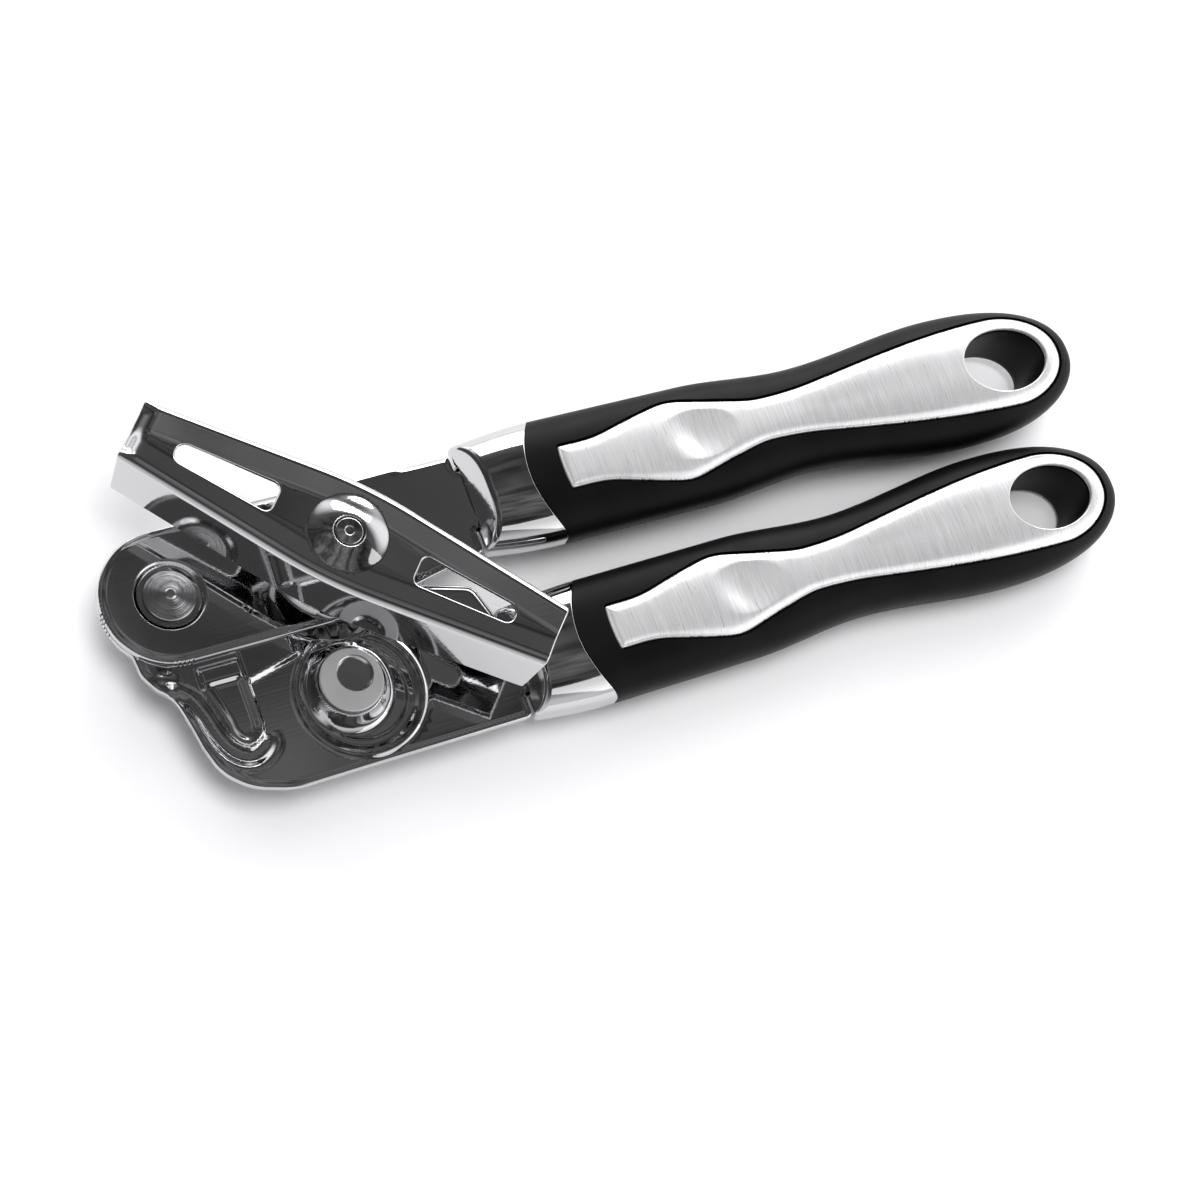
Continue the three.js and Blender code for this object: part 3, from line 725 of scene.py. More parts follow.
def key_half(u):
    """Half width of the key's ridges: straight tapers that meet in a rounded middle."""
    slope = (KEY_MIDDLE - KEY_END) / KEY_HALF
    bend = 9.0
    bend_half = KEY_MIDDLE - slope * bend
    t = np.clip((u / bend + 1) / 2, 0, 1)
    middle = bend_half * ((1 - t) ** 2 + t ** 2) + 2 * t * (1 - t) * KEY_MIDDLE
    return np.where(np.abs(u) < bend, middle, KEY_MIDDLE - slope * np.abs(u))


KEY_SECTION = rounded(
    [(-9.0, KEY_FACE, 0), (-5.4, KEY_FACE, 9.0), (0.0, KEY_TOP + 0.12, 1.75),
     (KEY_SPLAY, KEY_LOW, 0)][::-1], closed=False, spacing=0.05)[0][::-1]
KEY_ARC = np.concatenate(((0,), np.cumsum(np.linalg.norm(np.diff(KEY_SECTION, axis=0), axis=1)))) - 9.0
KEY_DEEP = float(KEY_ARC[-1])


def dome(radius):
    """Height of the pressed dome round the key's centre: a round cap with a sunk middle."""
    cap = 1.95 * np.clip(1 - (radius / 7.3) ** 2, 0, 1) ** 1.15
    sunk = smooth((3.1 - radius) / 0.9)
    return cap * (1 - sunk) + 0.6 * sunk


def on_key(flat):
    """Where a point of the unrolled key sheet, (along, across), is in space."""
    u, w = flat[:, 0], flat[:, 1]
    half = key_half(u)
    s = np.abs(w) - half
    out = np.where(s < -8.9, s, np.interp(s, KEY_ARC, KEY_SECTION[:, 0]))
    height = np.interp(s, KEY_ARC, KEY_SECTION[:, 1])
    v = np.where(w < 0, -1, 1) * (half + out)
    curl = -1.1 * smooth((3.6 - KEY_HALF - u) / 3.6) ** 1.5 * (s < 0)
    return np.column_stack((u, v, height + dome(np.hypot(u, v)) + curl * smooth(-s / 2.4)))


def key_slot(side):
    """A tapered slot, wide toward the key's middle."""
    corners = [(13.6, -2.9, 1.3), (32.3, -1.75, 1.7), (32.3, 1.75, 1.7), (13.6, 2.9, 1.3)]
    corners = [(side * u, v, radius) for u, v, radius in corners][::side]
    return outline(corners, 0.5)


def crank_key():
    rows = np.concatenate((np.arange(-5.6, -2.2, 0.5), np.arange(-2.2, 1.6, 0.15),
                           np.arange(1.8, KEY_DEEP - 0.4, 0.9)))
    low = KEY_DEEP
    slant = 1.0
    ends = []
    for sign in (1, -1):
        half = float(key_half(np.array(sign * KEY_HALF)))
        across = [w for w in np.arange(-half, half, 0.45) if abs(w) < half - 5.8]
        side = sorted([half + s for s in rows] + [-half - s for s in rows] + across)
        lower = [(KEY_HALF - slant * max(0, abs(w) - half) / low, w, 0) for w in side]
        corner = [(KEY_HALF - slant - 0.1, -half - low, 1.7)]
        end = corner + lower + [(corner[0][0], half + low, 1.7)]
        ends.append([(sign * u, sign * w, r) for u, w, r in end])
    sides = np.arange(-KEY_HALF + 4, KEY_HALF - 3, 1.0)
    upper_side = [(u, float(key_half(u)) + low, 0) for u in sides[::-1]]
    lower_side = [(u, -float(key_half(u)) - low, 0) for u in sides]
    edge = resampled(rounded(ends[0] + upper_side + ends[1] + lower_side)[0], 1.1)
    rim = 0.42
    loops = [inset(edge, rim)] + [inset(key_slot(side), rim, -1) for side in (1, -1)]
    loops.append(circle((0, 0), 2.3 + rim, 64))
    columns = np.arange(-KEY_HALF + 0.5, KEY_HALF, 1.05)
    bands = [(u, sign * (float(key_half(u)) + s)) for u in columns for s in rows for sign in (1, -1)]
    deck = grid((-KEY_HALF, -9), (KEY_HALF, 9), 1.1, [(np.zeros(2), np.arange(2.8, 7.6, 0.16))])
    deck = deck[(np.abs(deck[:, 1]) < key_half(deck[:, 0]) - 5.8) | (far(deck, np.zeros(2)) < 7.7)]
    bands = np.array(bands)
    curled = grid((-KEY_HALF + 0.5, -5), (-KEY_HALF + 4, 5), 0.35)
    curled = curled[np.abs(curled[:, 1]) < key_half(curled[:, 0]) - 1.0]
    bands = np.vstack([bands[(far(bands, np.zeros(2)) > 7.8)], curled])
    points, faces = region(loops, np.vstack([deck, bands]))
    above, normals = surface(on_key, points)
    under = above - KEY_SHEET * normals
    made = thick(above, normals, faces, under, -normals, rim)
    return piece("crank_key_sheet", made[0], made[2], CHROME, "crank", ["crank_key"],
                 made[1], at=SHAFT, turn=KEY_ANGLE)


# ---------------------------------------------------------------- rivets, shaft and wheels

def hinge_rivet():
    floor = DRIVE_TOP - WELL_DEEP + GAP
    low = CUTTER_UNDER - GAP
    corners = [(0, low - 1.6, 0), (3.4, low - 1.5, 1.6), (4.9, low, 0.25), (2.9, low, 0.2),
               (2.9, floor, 0.2), (4.75, floor, 0.25), (4.6, floor + 0.4, 0.4), (1.1, floor + 1.35, 0.5),
               (0.75, floor + 1.62, 0.3), (0, floor + 1.7, 0)]
    return turned_piece("hinge_rivet_turned", corners, (0, 0), TURNED, "cutter_side", "hinge_rivet")


def shaft_pieces():
    radius = 2.9
    bush_top = DRUM_TOP + GAP + 1.2
    hub_low, hub_top = bush_top + GAP, KEY_FACE - KEY_SHEET - GAP
    head_low = KEY_FACE + 0.6 + GAP
    turned_piece("shaft_bushing_turned", [
        (3.2, -SHEET, 0.2), (5.0, -SHEET, 0.2), (5.0, DRUM_TOP + GAP, 0.1), (6.9, DRUM_TOP + GAP, 0.2),
        (6.9, bush_top, 0.4), (3.2, bush_top, 0.2)], SHAFT, GEAR, "drive_side", "shaft_bushing",
        closed=True)
    turned_piece("drive_shaft_turned", [
        (0, NUT_UNDER, 0), (radius, NUT_UNDER, 0.4), (radius, hub_top, 0.3), (2.0, hub_top, 0.1),
        (2.0, head_low, 0.1), (2.6, head_low, 0.15), (2.45, head_low + 0.5, 0.4),
        (0.9, head_low + 0.66, 0.4), (0.8, head_low + 0.45, 0.15), (0, head_low + 0.42, 0)],
        SHAFT, CHROME, "crank", "drive_shaft")
    turned_piece("crank_hub_turned", [
        (3.2, hub_low, 0.2), (4.6, hub_low, 0.3), (4.6, hub_top, 0.3), (3.2, hub_top, 0.2)],
        SHAFT, CHROME, "crank", "crank_hub", closed=True)
    hexagon = [(SHAFT[0] + 5.2 * math.cos(a), SHAFT[1] + 5.2 * math.sin(a), 0.5)
               for a in np.arange(6) * math.pi / 3]
    flat_piece("shaft_nut_body", [outline(hexagon, 0.8), circle(SHAFT, 3.2)], NUT_UNDER,
               FEED_UNDER - GAP, 0.3, GEAR, "crank", "shaft_nut")


def gear_outline(at, direction):
    """A spur gear's outline with softly rounded teeth."""
    step = 2 * math.pi / TEETH
    flank = [(PITCH - 1.25 * MODULE, 0.3, 0.35), (PITCH, 0.22, 0.5), (PITCH + 0.9 * MODULE, 0.11, 0.25)]
    corners = []
    for i in range(TEETH):
        middle = direction + i * step
        rising = [(r, middle - half * step, fillet) for r, half, fillet in flank]
        falling = [(r, middle + half * step, fillet) for r, half, fillet in flank][::-1]
        corners += [(at[0] + r * math.cos(a), at[1] + r * math.sin(a), fillet)
                    for r, a, fillet in rising + falling]
    return outline(corners, 0.6)


def wheel_pieces():
    toward = math.atan2(*(CUTTER - SHAFT)[::-1])
    flat_piece("drive_gear_body", [gear_outline(SHAFT, toward), circle(SHAFT, 3.2)], GEAR_UNDER,
               GEAR_TOP, 0.15, GEAR, "crank", "drive_gear")
    opposite = toward + math.pi + math.pi / TEETH
    flat_piece("cutter_gear_body", [gear_outline(CUTTER, opposite), circle(CUTTER, 3.3)], GEAR_UNDER,
               GEAR_TOP, 0.15, GEAR, "cutter", "cutter_gear")
    serrations = []
    for i in range(FEED_TEETH):
        tip = 2 * math.pi * i / FEED_TEETH
        for radius, angle in ((FEED_RADIUS, tip), (FEED_RADIUS - 0.7, tip + math.pi / FEED_TEETH)):
            place = SHAFT + radius * np.array((math.cos(angle), math.sin(angle)))
            serrations.append((*place, 0.12))
    flat_piece("feed_wheel_body", [outline(serrations, 0.6), circle(SHAFT, 3.2)], FEED_UNDER,
               FEED_TOP, 0.12, GEAR, "crank", "feed_wheel")
    blade_top = FEED_UNDER - GAP
    blade_under = blade_top - 0.9
    bore = 3.3
    turned_piece("cutter_wheel_turned", [
        (bore, blade_under, 0.1), (9.6, blade_under, 0.1), (11.6, blade_top - 0.15, 0.03),
        (11.58, blade_top, 0.05), (5.2, blade_top, 0.3), (5.2, FEED_TOP, 0.2), (bore, FEED_TOP, 0.1)],
        CUTTER, GEAR, "cutter", "cutter_wheel", closed=True)
    seat = blade_under - 2 * GAP - 0.2
    turned_piece("cutter_screw_turned", [
        (0, NUT_UNDER + 0.5, 0), (1.0, NUT_UNDER + 0.5, 0.1), (1.0, NUT_UNDER, 0.1), (4.6, NUT_UNDER, 0.35),
        (4.6, seat, 0.2), (1.5, seat, 0.1), (1.5, -4.5, 0.2), (0, -4.5, 0)],
        CUTTER, GEAR, "cutter_side", "cutter_screw")


def cutter_axle():
    """The stud's satin head, off the axis of its conical hollow, and the round stem under it."""
    low = BOSS_RISE + CUTTER_TOP + GAP
    high = low + 0.8
    rim, mouth = 0.3, 3.45
    head = inset(circle(BOSS, 5.8, 128), rim)
    hollow = circle(CUTTER, mouth, 96)
    points, faces = region([head, hollow], grid(BOSS - 6, BOSS + 6, 1.0))
    count = len(points)
    up = np.tile((0.0, 0.0, 1.0), (count, 1))
    solid = [list(map(int, face)) for face in faces]
    all_points = [*np.column_stack((points, np.full(count, high)))]
    normals, caps = [*up], []
    edges, ways = rims(np.array(all_points), up, solid)
    outer_edge = [(a, b) for a, b in edges if far(points[[a]], CUTTER)[0] > mouth + 0.2]
    inner_edge = [(a, b) for a, b in edges if far(points[[a]], CUTTER)[0] <= mouth + 0.2]

    def rows_along(edge, levels):
        """Rows of points down a wall: each level gives a place and a normal for a rim point."""
        index = {}
        for a in {end for pair in edge for end in pair}:
            index[a] = [a]
            for place, normal in levels(points[a], ways[a]):
                index[a].append(len(all_points))
                all_points.append(np.array(place, float))
                normals.append(np.array(normal, float))
        for a, b in edge:
            for k in range(len(index[a]) - 1):
                solid.append([index[b][k], index[a][k], index[a][k + 1], index[b][k + 1]])
        return {a: index[a][-1] for a in index}

    def skirt(point, way):
        for k in range(1, 5):
            angle = math.pi / 8 * k
            place = [*(point + rim * math.sin(angle) * way[:2]), high - rim * (1 - math.cos(angle))]
            yield place, [*(math.sin(angle) * way[:2]), math.cos(angle)]
        yield [*(point + rim * way[:2]), low], [*way[:2], 0]
        yield [*(point + (rim - 0.1) * way[:2]), low - 0.01], [0, 0, -1]

    def cone(point, _):
        away = (point - CUTTER) / mouth
        levels = [(mouth - 0.12, -0.05, 0.5), (mouth - 0.35, -0.5, 0.8), (2.6, -1.35, 0.75),
                  (1.7, -2.25, 0.75), (0.9, -2.95, 0.8), (0.45, -3.15, 0.2)]
        for radius, drop, lean in levels:
            yield [*(CUTTER + radius * away), high + drop], [*(-lean * away), math.sqrt(1 - lean ** 2)]

    for edge, levels in ((outer_edge, skirt), (inner_edge, cone)):
        last = rows_along(edge, levels)
        caps.append([last[a] for a, b in ordered(edge)])
    solid += caps[::-1]
    piece("cutter_axle_head", np.array(all_points), solid, SATIN, "cutter_side", ["cutter_axle"],
          np.array(normals))
    blade_under = FEED_UNDER - GAP - 0.9
    turned_piece("cutter_axle_stem", [(1.8, blade_under - 0.5, 0.1), (3.0, blade_under - 0.5, 0.2),
                                      (3.0, low - 2.6, 0.1), (1.8, low - 2.6, 0.1)],
                 CUTTER, GEAR, "cutter_side", "cutter_axle", closed=True)


def ordered(edges):
    """Boundary edges in the order that runs round their loop, reversed for the facing surface."""
    after = {b: a for a, b in edges}
    start = edges[0][1]
    loop, here = [], start
    while True:
        loop.append((here, after[here]))
        here = after[here]
        if here == start:
            return loop


# ---------------------------------------------------------------- handles

def handle_half(x, front, base, waist, bulge, power):
    """Half width or half thickness of the handle, by distance from the ferrule front."""
    x = np.asarray(x, float)
    taper_end, waist_start, waist_at, bulge_at = 16, 48, 71, 107
    tip = np.clip((x - bulge_at) / (HANDLE_LENGTH - bulge_at), 0, 1)
    return np.select(
        [x < taper_end, x < waist_start, x < waist_at, x < bulge_at],
        [front + (base - front) * np.sin(0.5 * math.pi * np.clip(x, 0, taper_end) / taper_end),
         base,
         base + (waist - base) * smooth((x - waist_start) / (waist_at - waist_start)),
         waist + (bulge - waist) * smooth((x - waist_at) / (bulge_at - waist_at))],
        bulge * (1 - tip ** power) ** (1 / power))


def half_width(x):
    return handle_half(x, 10.6, 12.0, 10.4, 13.55, 2.4)


def half_thick(x):
    return handle_half(x, 7.0, 7.5, 7.0, 7.8, 4)


SQUARENESS = 2.5


def skin_height(x, y):
    """Height of the handle's upper skin over a plan point."""
    share = np.clip(1 - np.abs(y / np.maximum(half_width(x), 0.01)) ** SQUARENESS, 0, 1)
    return MIDDLE + np.maximum(half_thick(x), 0.01) * share ** (1 / SQUARENESS)


def skin_section(x, angles, inset_by=0.0):
    """Points round the handle at distances x, one for each angle."""
    power = 2 / SQUARENESS
    across = np.sign(np.cos(angles)) * np.abs(np.cos(angles)) ** power
    up = np.sign(np.sin(angles)) * np.abs(np.sin(angles)) ** power
    wide = np.maximum(half_width(x) - inset_by, 0.0)
    tall = np.maximum(half_thick(x) - inset_by, 0.0)
    return np.column_stack((x, wide * across, MIDDLE + tall * up))


def arc_edge(angles, radius):
    """Distance of the curved joint between ferrule and grip, at each angle round the handle."""
    x = np.full(len(angles), GRIP_ARC_AT - radius)
    for _ in range(6):
        place = skin_section(x, angles)
        x = GRIP_ARC_AT - np.sqrt(np.maximum(radius ** 2 - place[:, 1] ** 2, 0))
        x += 0.3 * np.maximum(MIDDLE - place[:, 2], 0)
    return x


def tube_faces(rows, sides):
    """Faces between rings of points, each ring with as many points as there are sides."""
    return [[low + k, low + sides + k, low + sides + (k + 1) % sides, low + (k + 1) % sides]
            for low in range(0, (rows - 1) * sides, sides) for k in range(sides)]


def lean(height):
    """How far the ferrule's chisel front leans back at a height."""
    return FRONT_LEAN * np.maximum(height, 0) + FRONT_LEAN_UNDER * np.maximum(-SHEET - height, 0)


def ferrule(side, handle):
    """A tapered chrome shell with a rolled rim round a chisel front that the arm enters."""
    sides, wall, roll, steps = 144, 1.0, 0.7, 6
    angles = np.linspace(0, 2 * math.pi, sides, endpoint=False)
    back = arc_edge(angles, GRIP_ARC + GAP)
    room = TANG_HALF + GAP
    slot = resampled(rounded([(-room, -SHEET - GAP, 0.4), (room, -SHEET - GAP, 0.4), (room, GAP, 0.4),
                              (-room, GAP, 0.4)])[0], 0.7)
    rim = skin_section(np.zeros(sides), angles, roll)[:, 1:]
    flat, cap = region([rim, inset(slot, 0.3, -1)], grid((-11, -9), (11, 6), 0.7))

    def front(plan):
        return np.column_stack((lean(plan[:, 1]), plan))

    def facing(plan):
        slope = np.where(plan[:, 1] > 0, FRONT_LEAN, np.where(plan[:, 1] < -SHEET, -FRONT_LEAN_UNDER, 0))
        way = np.column_stack((-np.ones(len(plan)), np.zeros(len(plan)), slope))
        return way / np.linalg.norm(way, axis=1)[:, None]

    points, normals = [front(flat)], [facing(flat)]
    faces = [[int(i) for i in face][::-1] for face in cap]
    rings = [[int(np.argmin(np.linalg.norm(flat - p, axis=1))) for p in rim]]
    first = len(flat)
    shares = np.concatenate((np.arange(1, steps + 1) / steps - 1, np.arange(1, 15) / 14))
    step = 0.02
    for share in shares:
        angle = 0.5 * math.pi * min(1 + share, 1)
        drawn_in = roll * (1 - math.sin(angle))
        start = lean(skin_section(np.zeros(sides), angles, drawn_in)[:, 2]) + roll * (1 - math.cos(angle))
        x = start + (back - start) * max(share, 0)
        ring = skin_section(x, angles, drawn_in)
        ahead = skin_section(x + step, angles) - skin_section(x - step, angles)
        round_by = skin_section(x, angles + 0.01) - skin_section(x, angles - 0.01)
        normal = np.cross(round_by, ahead)
        normal /= np.linalg.norm(normal, axis=1)[:, None]
        rings.append(list(range(first, first + sides)))
        first += sides
        points.append(ring)
        normals.append(math.sin(angle) * normal + math.cos(angle) * facing(ring[:, 1:]))
    for lower, upper in zip(rings, rings[1:]):
        faces += [[lower[k], lower[(k + 1) % sides], upper[(k + 1) % sides], upper[k]] for k in range(sides)]
    points, normals = np.vstack(points), np.vstack(normals)
    normals /= np.linalg.norm(normals, axis=1)[:, None]
    made = thick(points, normals, faces, points - wall * normals, -normals, 0.3)
    return piece(f"{side}_ferrule_shell", made[0], made[2], CHROME, handle["body"], [f"{side}_ferrule"],
                 made[1], at=handle["at"], turn=handle["turn"])


def inlay_half(x):
    """Half width of the inlay by distance from its front end, up to its round end."""
    steps = [(0, 4.35), (7, 4.45), (17, 6.7), (24.5, 8.05), (33, 6.3), (44, 4.35), (52, 4.7), (62, 6.05),
             (80, 8.4), (100, 9.6)]
    xs, halves = np.array(steps).T
    slopes = np.gradient(halves, xs)
    slopes[0] = slopes[-1] = 0
    slopes[3] = slopes[5] = 0
    i = np.clip(np.searchsorted(xs, x) - 1, 0, len(xs) - 2)
    span = xs[i + 1] - xs[i]
    t = (x - xs[i]) / span
    return ((2 * t ** 3 - 3 * t ** 2 + 1) * halves[i] + (t ** 3 - 2 * t ** 2 + t) * span * slopes[i]
            + (3 * t ** 2 - 2 * t ** 3) * halves[i + 1] + (t ** 3 - t ** 2) * span * slopes[i + 1])


def inlay_edge(grow=0.0):
    """The inlay's outline from its slightly bowed front round to its round end."""
    xs = np.arange(0.9, INLAY_RING_AT, 0.9)
    lower = [(INLAY_FRONT + x, -inlay_half(np.array([x]))[0], 0) for x in xs]
    upper = [(x, -y, 0) for x, y, _ in lower[::-1]]
    a, b = INLAY_RING
    angles = np.linspace(-math.pi / 2, math.pi / 2, 48)
    tip = [(INLAY_FRONT + INLAY_RING_AT + a * math.cos(t), b * math.sin(t), 0) for t in angles]
    bow = [(INLAY_FRONT, 4.3, 0.9), (INLAY_FRONT - 0.35, 2.2, 6), (INLAY_FRONT - 0.45, 0, 20),
           (INLAY_FRONT - 0.35, -2.2, 6), (INLAY_FRONT, -4.3, 0.9)]
    loop = resampled(rounded(lower + tip + upper + bow)[0], 0.8)
    return inset(loop, -grow)


DIMPLE_AT = INLAY_FRONT + 28.5
DIMPLE_HALF = (8.8, 5.1)


def dimple(x, y):
    """Depth of the thumb dimple: a crisp oval, softer toward the ferrule."""
    u, v = (x - DIMPLE_AT) / DIMPLE_HALF[0], y / DIMPLE_HALF[1]
    bowl = np.clip(1 - u ** 2 - v ** 2, 0, 1)
    return 0.95 * bowl ** 1.1 * smooth((u + 1.0) / 1.0)


def inlay(side, handle):
    rim, proud = 0.42, 0.12

    loops = [inset(inlay_edge(), rim), inset(ellipse((HOLE_AT, 0), *HOLE_HALF, 128), rim, -1)]

    def upper(flat):
        x, y = flat[:, 0], flat[:, 1]
        fall = 0.42 * np.clip(1 - nearest(flat, loops[0]) / 1.6, 0, 1) ** 2
        return np.column_stack((x, y, skin_height(x, y) + proud - dimple(x, y) - fall))

    rows = np.vstack([inset(loops[0], d) for d in (0.3, 0.6, 0.95, 1.35)])
    rows = rows[far(rows / HOLE_HALF, np.array((HOLE_AT, 0)) / HOLE_HALF) > 1.12]
    oval = np.vstack([ellipse((DIMPLE_AT, 0), DIMPLE_HALF[0] * k, DIMPLE_HALF[1] * k, 96)
                      for k in np.arange(0.1, 1.1, 0.05)])
    field = grid((INLAY_FRONT - 1, -10), (HANDLE_LENGTH, 10), 0.75)
    field = field[far(field / DIMPLE_HALF, np.array((DIMPLE_AT, 0)) / DIMPLE_HALF) > 1.12]
    inner = np.vstack([field[nearest(field, loops[0]) > 1.6], oval[nearest(oval, loops[0]) > 1.5], rows])
    points, faces = region(loops, inner)
    above, normals = surface(upper, points)
    x, y = points[:, 0], points[:, 1]
    floor = np.minimum(skin_height(x, y) - INLAY_THICK, above[:, 2] - 0.3)
    under = np.column_stack((points, floor))
    made = thick(above, normals, faces, under, -normals, 0.32)
    return piece(f"{side}_inlay_plate", made[0], made[2], BRUSHED, handle["body"], [f"{side}_inlay"],
                 made[1], at=handle["at"], turn=handle["turn"])


def loft(name, shares, angles, start_x):
    """A closed body along the handle: rings of points with a ruled front and a pointed tip."""
    sides = len(angles)
    rings = [skin_section(start_x + (HANDLE_LENGTH - start_x) * share, angles) for share in shares]
    points = np.vstack([*rings, (HANDLE_LENGTH, 0, MIDDLE)])
    faces = tube_faces(len(rings), sides)
    last = (len(rings) - 1) * sides
    tip = len(points) - 1
    faces += [[last + k, tip, last + (k + 1) % sides] for k in range(sides)]
    half = sides // 2
    for k in range(half):
        quad = [k, k + 1, sides - k - 1, (sides - k) % sides]
        faces.append(list(dict.fromkeys(quad)))
    return linked(name, points, faces)


def prism(name, loops_at):
    """A closed prism from loops of equal count at rising heights, given as (loop, heights)."""
    count = len(loops_at[0][0])
    points = np.vstack([np.column_stack((loop, height * np.ones(count))) for loop, height in loops_at])
    faces = [face[:1] + face[:0:-1] for face in tube_faces(len(loops_at), count)]
    top = (len(loops_at) - 1) * count
    faces += [list(range(count))[::-1], list(range(top, top + count))]
    return linked(name, points, faces)


def pocket(name):
    """The room under an inlay: its outline grown by the gap, from the pocket floor up."""
    loop = inlay_edge(GAP)
    loop = resampled(loop, 0.9)
    flat, faces = region([loop], grid((INLAY_FRONT - 2, -11), (HANDLE_LENGTH, 11), 1.2))
    x, y = flat[:, 0], flat[:, 1]
    floor = skin_height(x, y) - INLAY_THICK - GAP - 0.35 * (dimple(x, y) > 0.4)
    count = len(flat)
    points = np.vstack([np.column_stack((flat, floor)), np.column_stack((flat, np.full(count, 15.0)))])
    faces = [[int(i) for i in face] for face in faces]
    edges = {(f[i], f[(i + 1) % 3]) for f in faces for i in range(3)}
    border = [(a, b) for a, b in edges if (b, a) not in edges]
    solid = [f[::-1] for f in faces] + [[i + count for i in f] for f in faces]
    solid += [[a, b, b + count, a + count] for a, b in border]
    return linked(name, points, solid)


def cut(body, tools):
    """The body's mesh with the tools' bodies taken away, which are then removed."""
    for tool in tools:
        modifier = body.modifiers.new("cut", "BOOLEAN")
        modifier.operation = "DIFFERENCE"
        modifier.solver = "EXACT"
        modifier.object = tool
    graph = bpy.context.evaluated_depsgraph_get()
    mesh = bpy.data.meshes.new_from_object(body.evaluated_get(graph))
    for used in [body, *tools]:
        bpy.data.objects.remove(used)
    return mesh


def grip_mesh():
    """The soft grip: a rounded body, hollow for the core, with the inlay's pocket and the hole."""
    angles = np.linspace(0, 2 * math.pi, 112, endpoint=False)
    straight = 0.8
    turn = np.sin(np.linspace(0, math.pi / 2, 40)[:-1])
    shares = np.concatenate((np.linspace(0, straight, 70)[:-1], straight + (1 - straight) * turn))
    body = loft("grip_body", shares, angles, arc_edge(angles, GRIP_ARC))
    wall = 2.2
    core_angles = np.linspace(0, 2 * math.pi, 64, endpoint=False)
    core_end = 103.8
    core = prism_along("grip_core_room", core_angles, 5.0, core_end, wall)
    bottom = MIDDLE - float(half_thick(HOLE_AT))
    flare = [(1.6, bottom - 2), (1.1, bottom - 0.3), (0.75, bottom + 0.1), (0.3, bottom + 0.5),
             (0.05, bottom + 1.0), (0, bottom + 1.8), (0, 16)]
    hole = prism("grip_hole_room", [(ellipse((HOLE_AT, 0), HOLE_HALF[0] + g, HOLE_HALF[1] + g, 96), z)
                                    for g, z in flare])
    return cut(body, [core, pocket("grip_pocket_room"), hole])


def prism_along(name, angles, start, end, inset_by):
    """A body with the handle's sections between two distances, flat at both ends."""
    sides = len(angles)
    xs = np.linspace(start, end, 40)
    points = np.vstack([skin_section(np.full(sides, x), angles, inset_by) for x in xs])
    faces = tube_faces(len(xs), sides)
    last = (len(xs) - 1) * sides
    faces += [list(range(sides)), list(range(last, last + sides))[::-1]]
    return linked(name, points, faces)


def grips():
    shape = grip_mesh()
    for side, handle in HANDLES.items():
        mesh = shape.copy()
        mesh.name = f"{side}_grip_skin"
        place = Matrix.Translation(Vector(HINGE)) @ Matrix.Scale(MM, 4) @ Matrix.Translation(handle["at"])
        mesh.transform(place @ Matrix.Rotation(handle["turn"], 4, "Z"))
        mesh.polygons.foreach_set("use_smooth", [True] * len(mesh.polygons))
        mesh.set_sharp_from_angle(angle=math.radians(38))
        mesh.materials.clear()
        mesh.materials.append(GRIP)
        made = bpy.data.objects.new(f"{side}_grip_skin", mesh)
        bpy.context.scene.collection.objects.link(made)
        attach(made, handle["body"])
        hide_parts(f"{side}_grip")


# ---------------------------------------------------------------- assembly

drive_arm()
cutter_arm()
crank_key()
hinge_rivet()
shaft_pieces()
wheel_pieces()
cutter_axle()
for side, handle in HANDLES.items():
    ferrule(side, handle)
    inlay(side, handle)
grips()

CARRIED = {"handle_core": CORE, "tang_pin": GEAR}
for name, node in frame["nodes"].items():
    for part, material in CARRIED.items():
        if part in name:
            node.data.materials.clear()
            node.data.materials.append(material)


# ---------------------------------------------------------------- floor, light and camera

def floor():
    finish = Finish("floor_paper", 0.9, 0.0, 0.9)
    finish.colours(finish.noise(3, 2), 0.90, 0.93)
    half = 3.0
    corners = [(-half, -half, 0), (half, -half, 0), (half, half, 0), (-half, half, 0)]
    made = linked("floor", corners, [(0, 1, 2, 3)])
    made.data.materials.append(finish.material)


def area_light(name, location, target, size, watts, shows_in_gloss):
    light = bpy.data.lights.new(name, "AREA")
    light.shape = "RECTANGLE"
    light.size, light.size_y = size
    light.energy = watts
    made = bpy.data.objects.new(name, light)
    bpy.context.scene.collection.objects.link(made)
    made.location = location
    made.rotation_euler = (Vector(target) - Vector(location)).to_track_quat("-Z", "Y").to_euler()
    made.visible_glossy = shows_in_gloss
    made.visible_camera = False


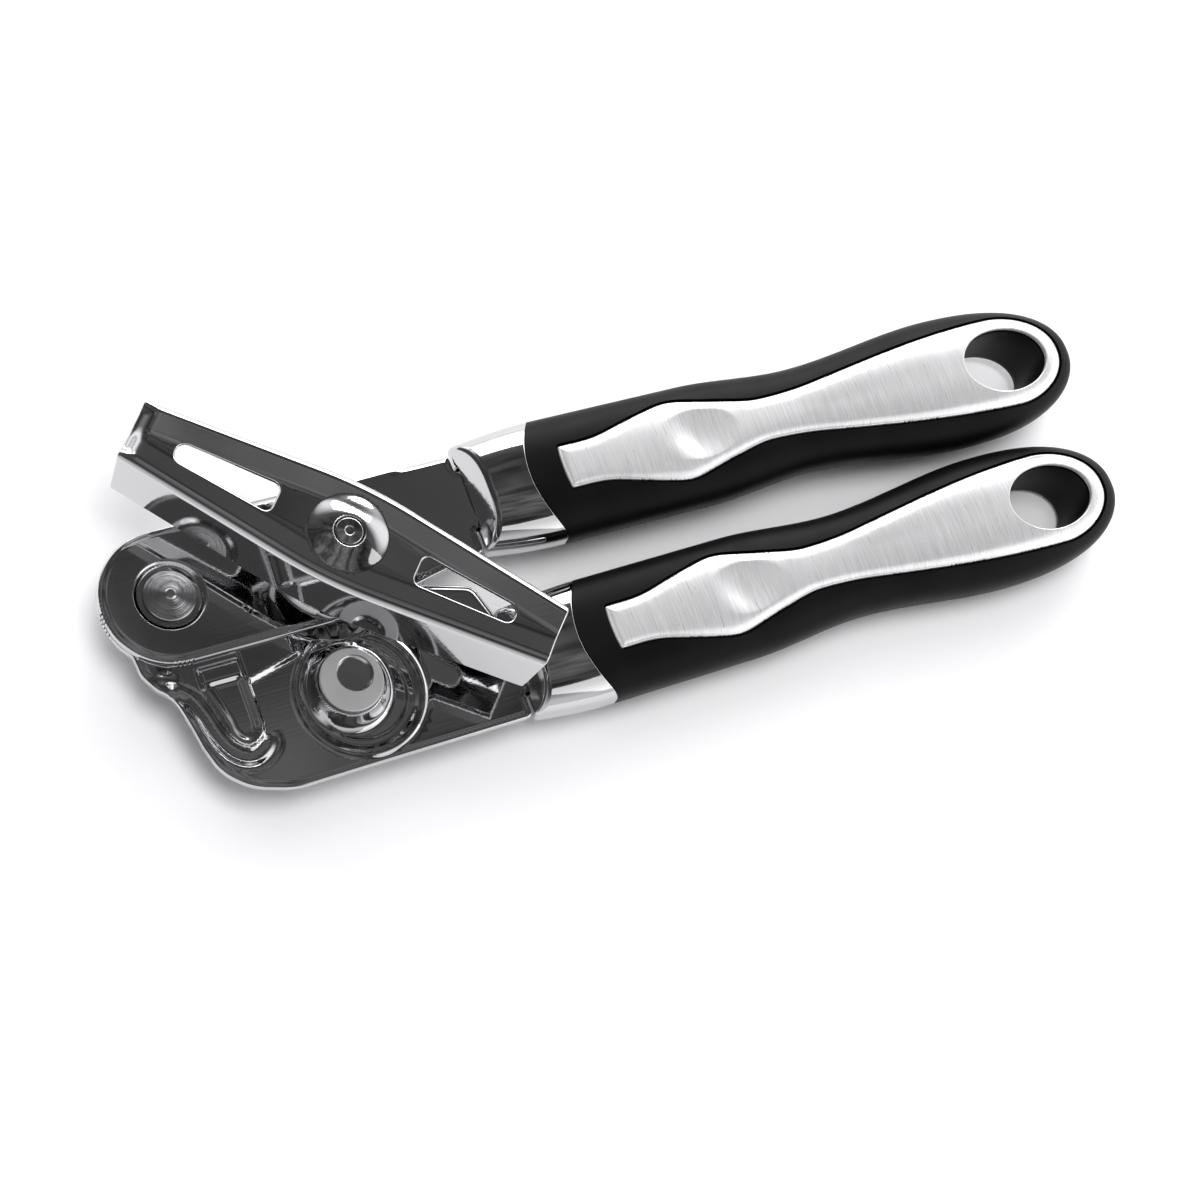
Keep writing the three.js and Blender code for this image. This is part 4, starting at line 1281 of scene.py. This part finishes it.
def sky():
    """A studio that is bright low down, brightest behind the opener, and dark overhead."""
    world = bpy.data.worlds.new("studio")
    bpy.context.scene.world = world
    world.use_nodes = True
    tree = world.node_tree
    place = tree.nodes.new("ShaderNodeTexCoord").outputs["Generated"]
    height = add_node(tree, "SeparateXYZ", {"Vector": place}).outputs["Z"]
    clouds = add_node(tree, "TexNoise", {"Vector": place, "Scale": 8, "Detail": 3}).outputs["Fac"]

    def toward(direction):
        along = add_node(tree, "VectorMath", {0: place, 1: direction}, operation="DOT_PRODUCT")
        return along.outputs["Value"]

    def mixed(operation, a, b):
        mix = add_node(tree, "MixRGB", {"Fac": 1.0, "Color1": a, "Color2": b}, blend_type=operation)
        return mix.outputs["Color"]

    low = ramp(tree, height, [(0.0, 0.85), (0.28, 0.8), (0.50, 0.42), (0.66, 0.11), (0.80, 0.0)])
    high = ramp(tree, height, [(0.60, 0.0), (0.80, 0.05), (0.90, 0.09), (0.94, 0.16), (1.0, 0.17)])
    band = ramp(tree, height, [(0.0, 0.0), (0.03, 0.1), (0.07, 1.0), (0.34, 1.0), (0.37, 0.15),
                               (0.40, 0.15), (0.43, 0.9), (0.52, 0.9), (0.64, 0.0)])
    back = ramp(tree, toward((0.80, 0.60, 0.0)), [(0.0, 0.0), (0.16, 0.6), (0.32, 1.0)])
    left = ramp(tree, toward((-0.94, 0.34, 0.0)), [(0.64, 1.0), (0.82, 0.1)])
    uneven = ramp(tree, clouds, [(0.36, 0.35), (0.64, 1.6)])
    light = mixed("ADD", mixed("MULTIPLY", low, left), mixed("MULTIPLY", high, uneven))
    light = mixed("ADD", light, mixed("MULTIPLY", back, band))
    tree.links.new(light, tree.nodes["Background"].inputs["Color"])


def camera():
    place = Vector(HINGE) + Vector((-0.10896, -0.11775, 0.40020))
    aim = Vector(HINGE) + Vector((0.07713, -0.02116, -0.00220))
    roll = math.radians(43.9)
    forward = (aim - place).normalized()
    level = forward.cross(Vector((0, 0, 1))).normalized()
    above = level.cross(forward)
    right = math.cos(roll) * level + math.sin(roll) * above
    up = right.cross(forward)
    data = bpy.data.cameras.new("camera")
    data.sensor_width = 36
    data.lens = 73.5
    data.clip_start, data.clip_end = 0.01, 20
    made = bpy.data.objects.new("camera", data)
    bpy.context.scene.collection.objects.link(made)
    turn = Matrix((right, up, -forward)).transposed().to_4x4()
    made.matrix_world = Matrix.Translation(place) @ turn
    bpy.context.scene.camera = made


floor()
sky()
area_light("overhead", (-0.03, 0.02, 1.3), (0, 0, 0), (0.7, 0.7), 11, False)
area_light("far_side", (0.0, 0.75, 0.9), (0, 0, 0), (1.2, 0.7), 4, False)
area_light("back_softbox", (0.55, 0.75, 0.45), (0, 0, 0), (0.9, 0.5), 6, True)
area_light("right_card", (0.65, -0.75, 0.62), (0, 0, 0), (0.9, 0.8), 2.2, True)
camera()
bpy.context.scene.view_settings.view_transform = "Standard"
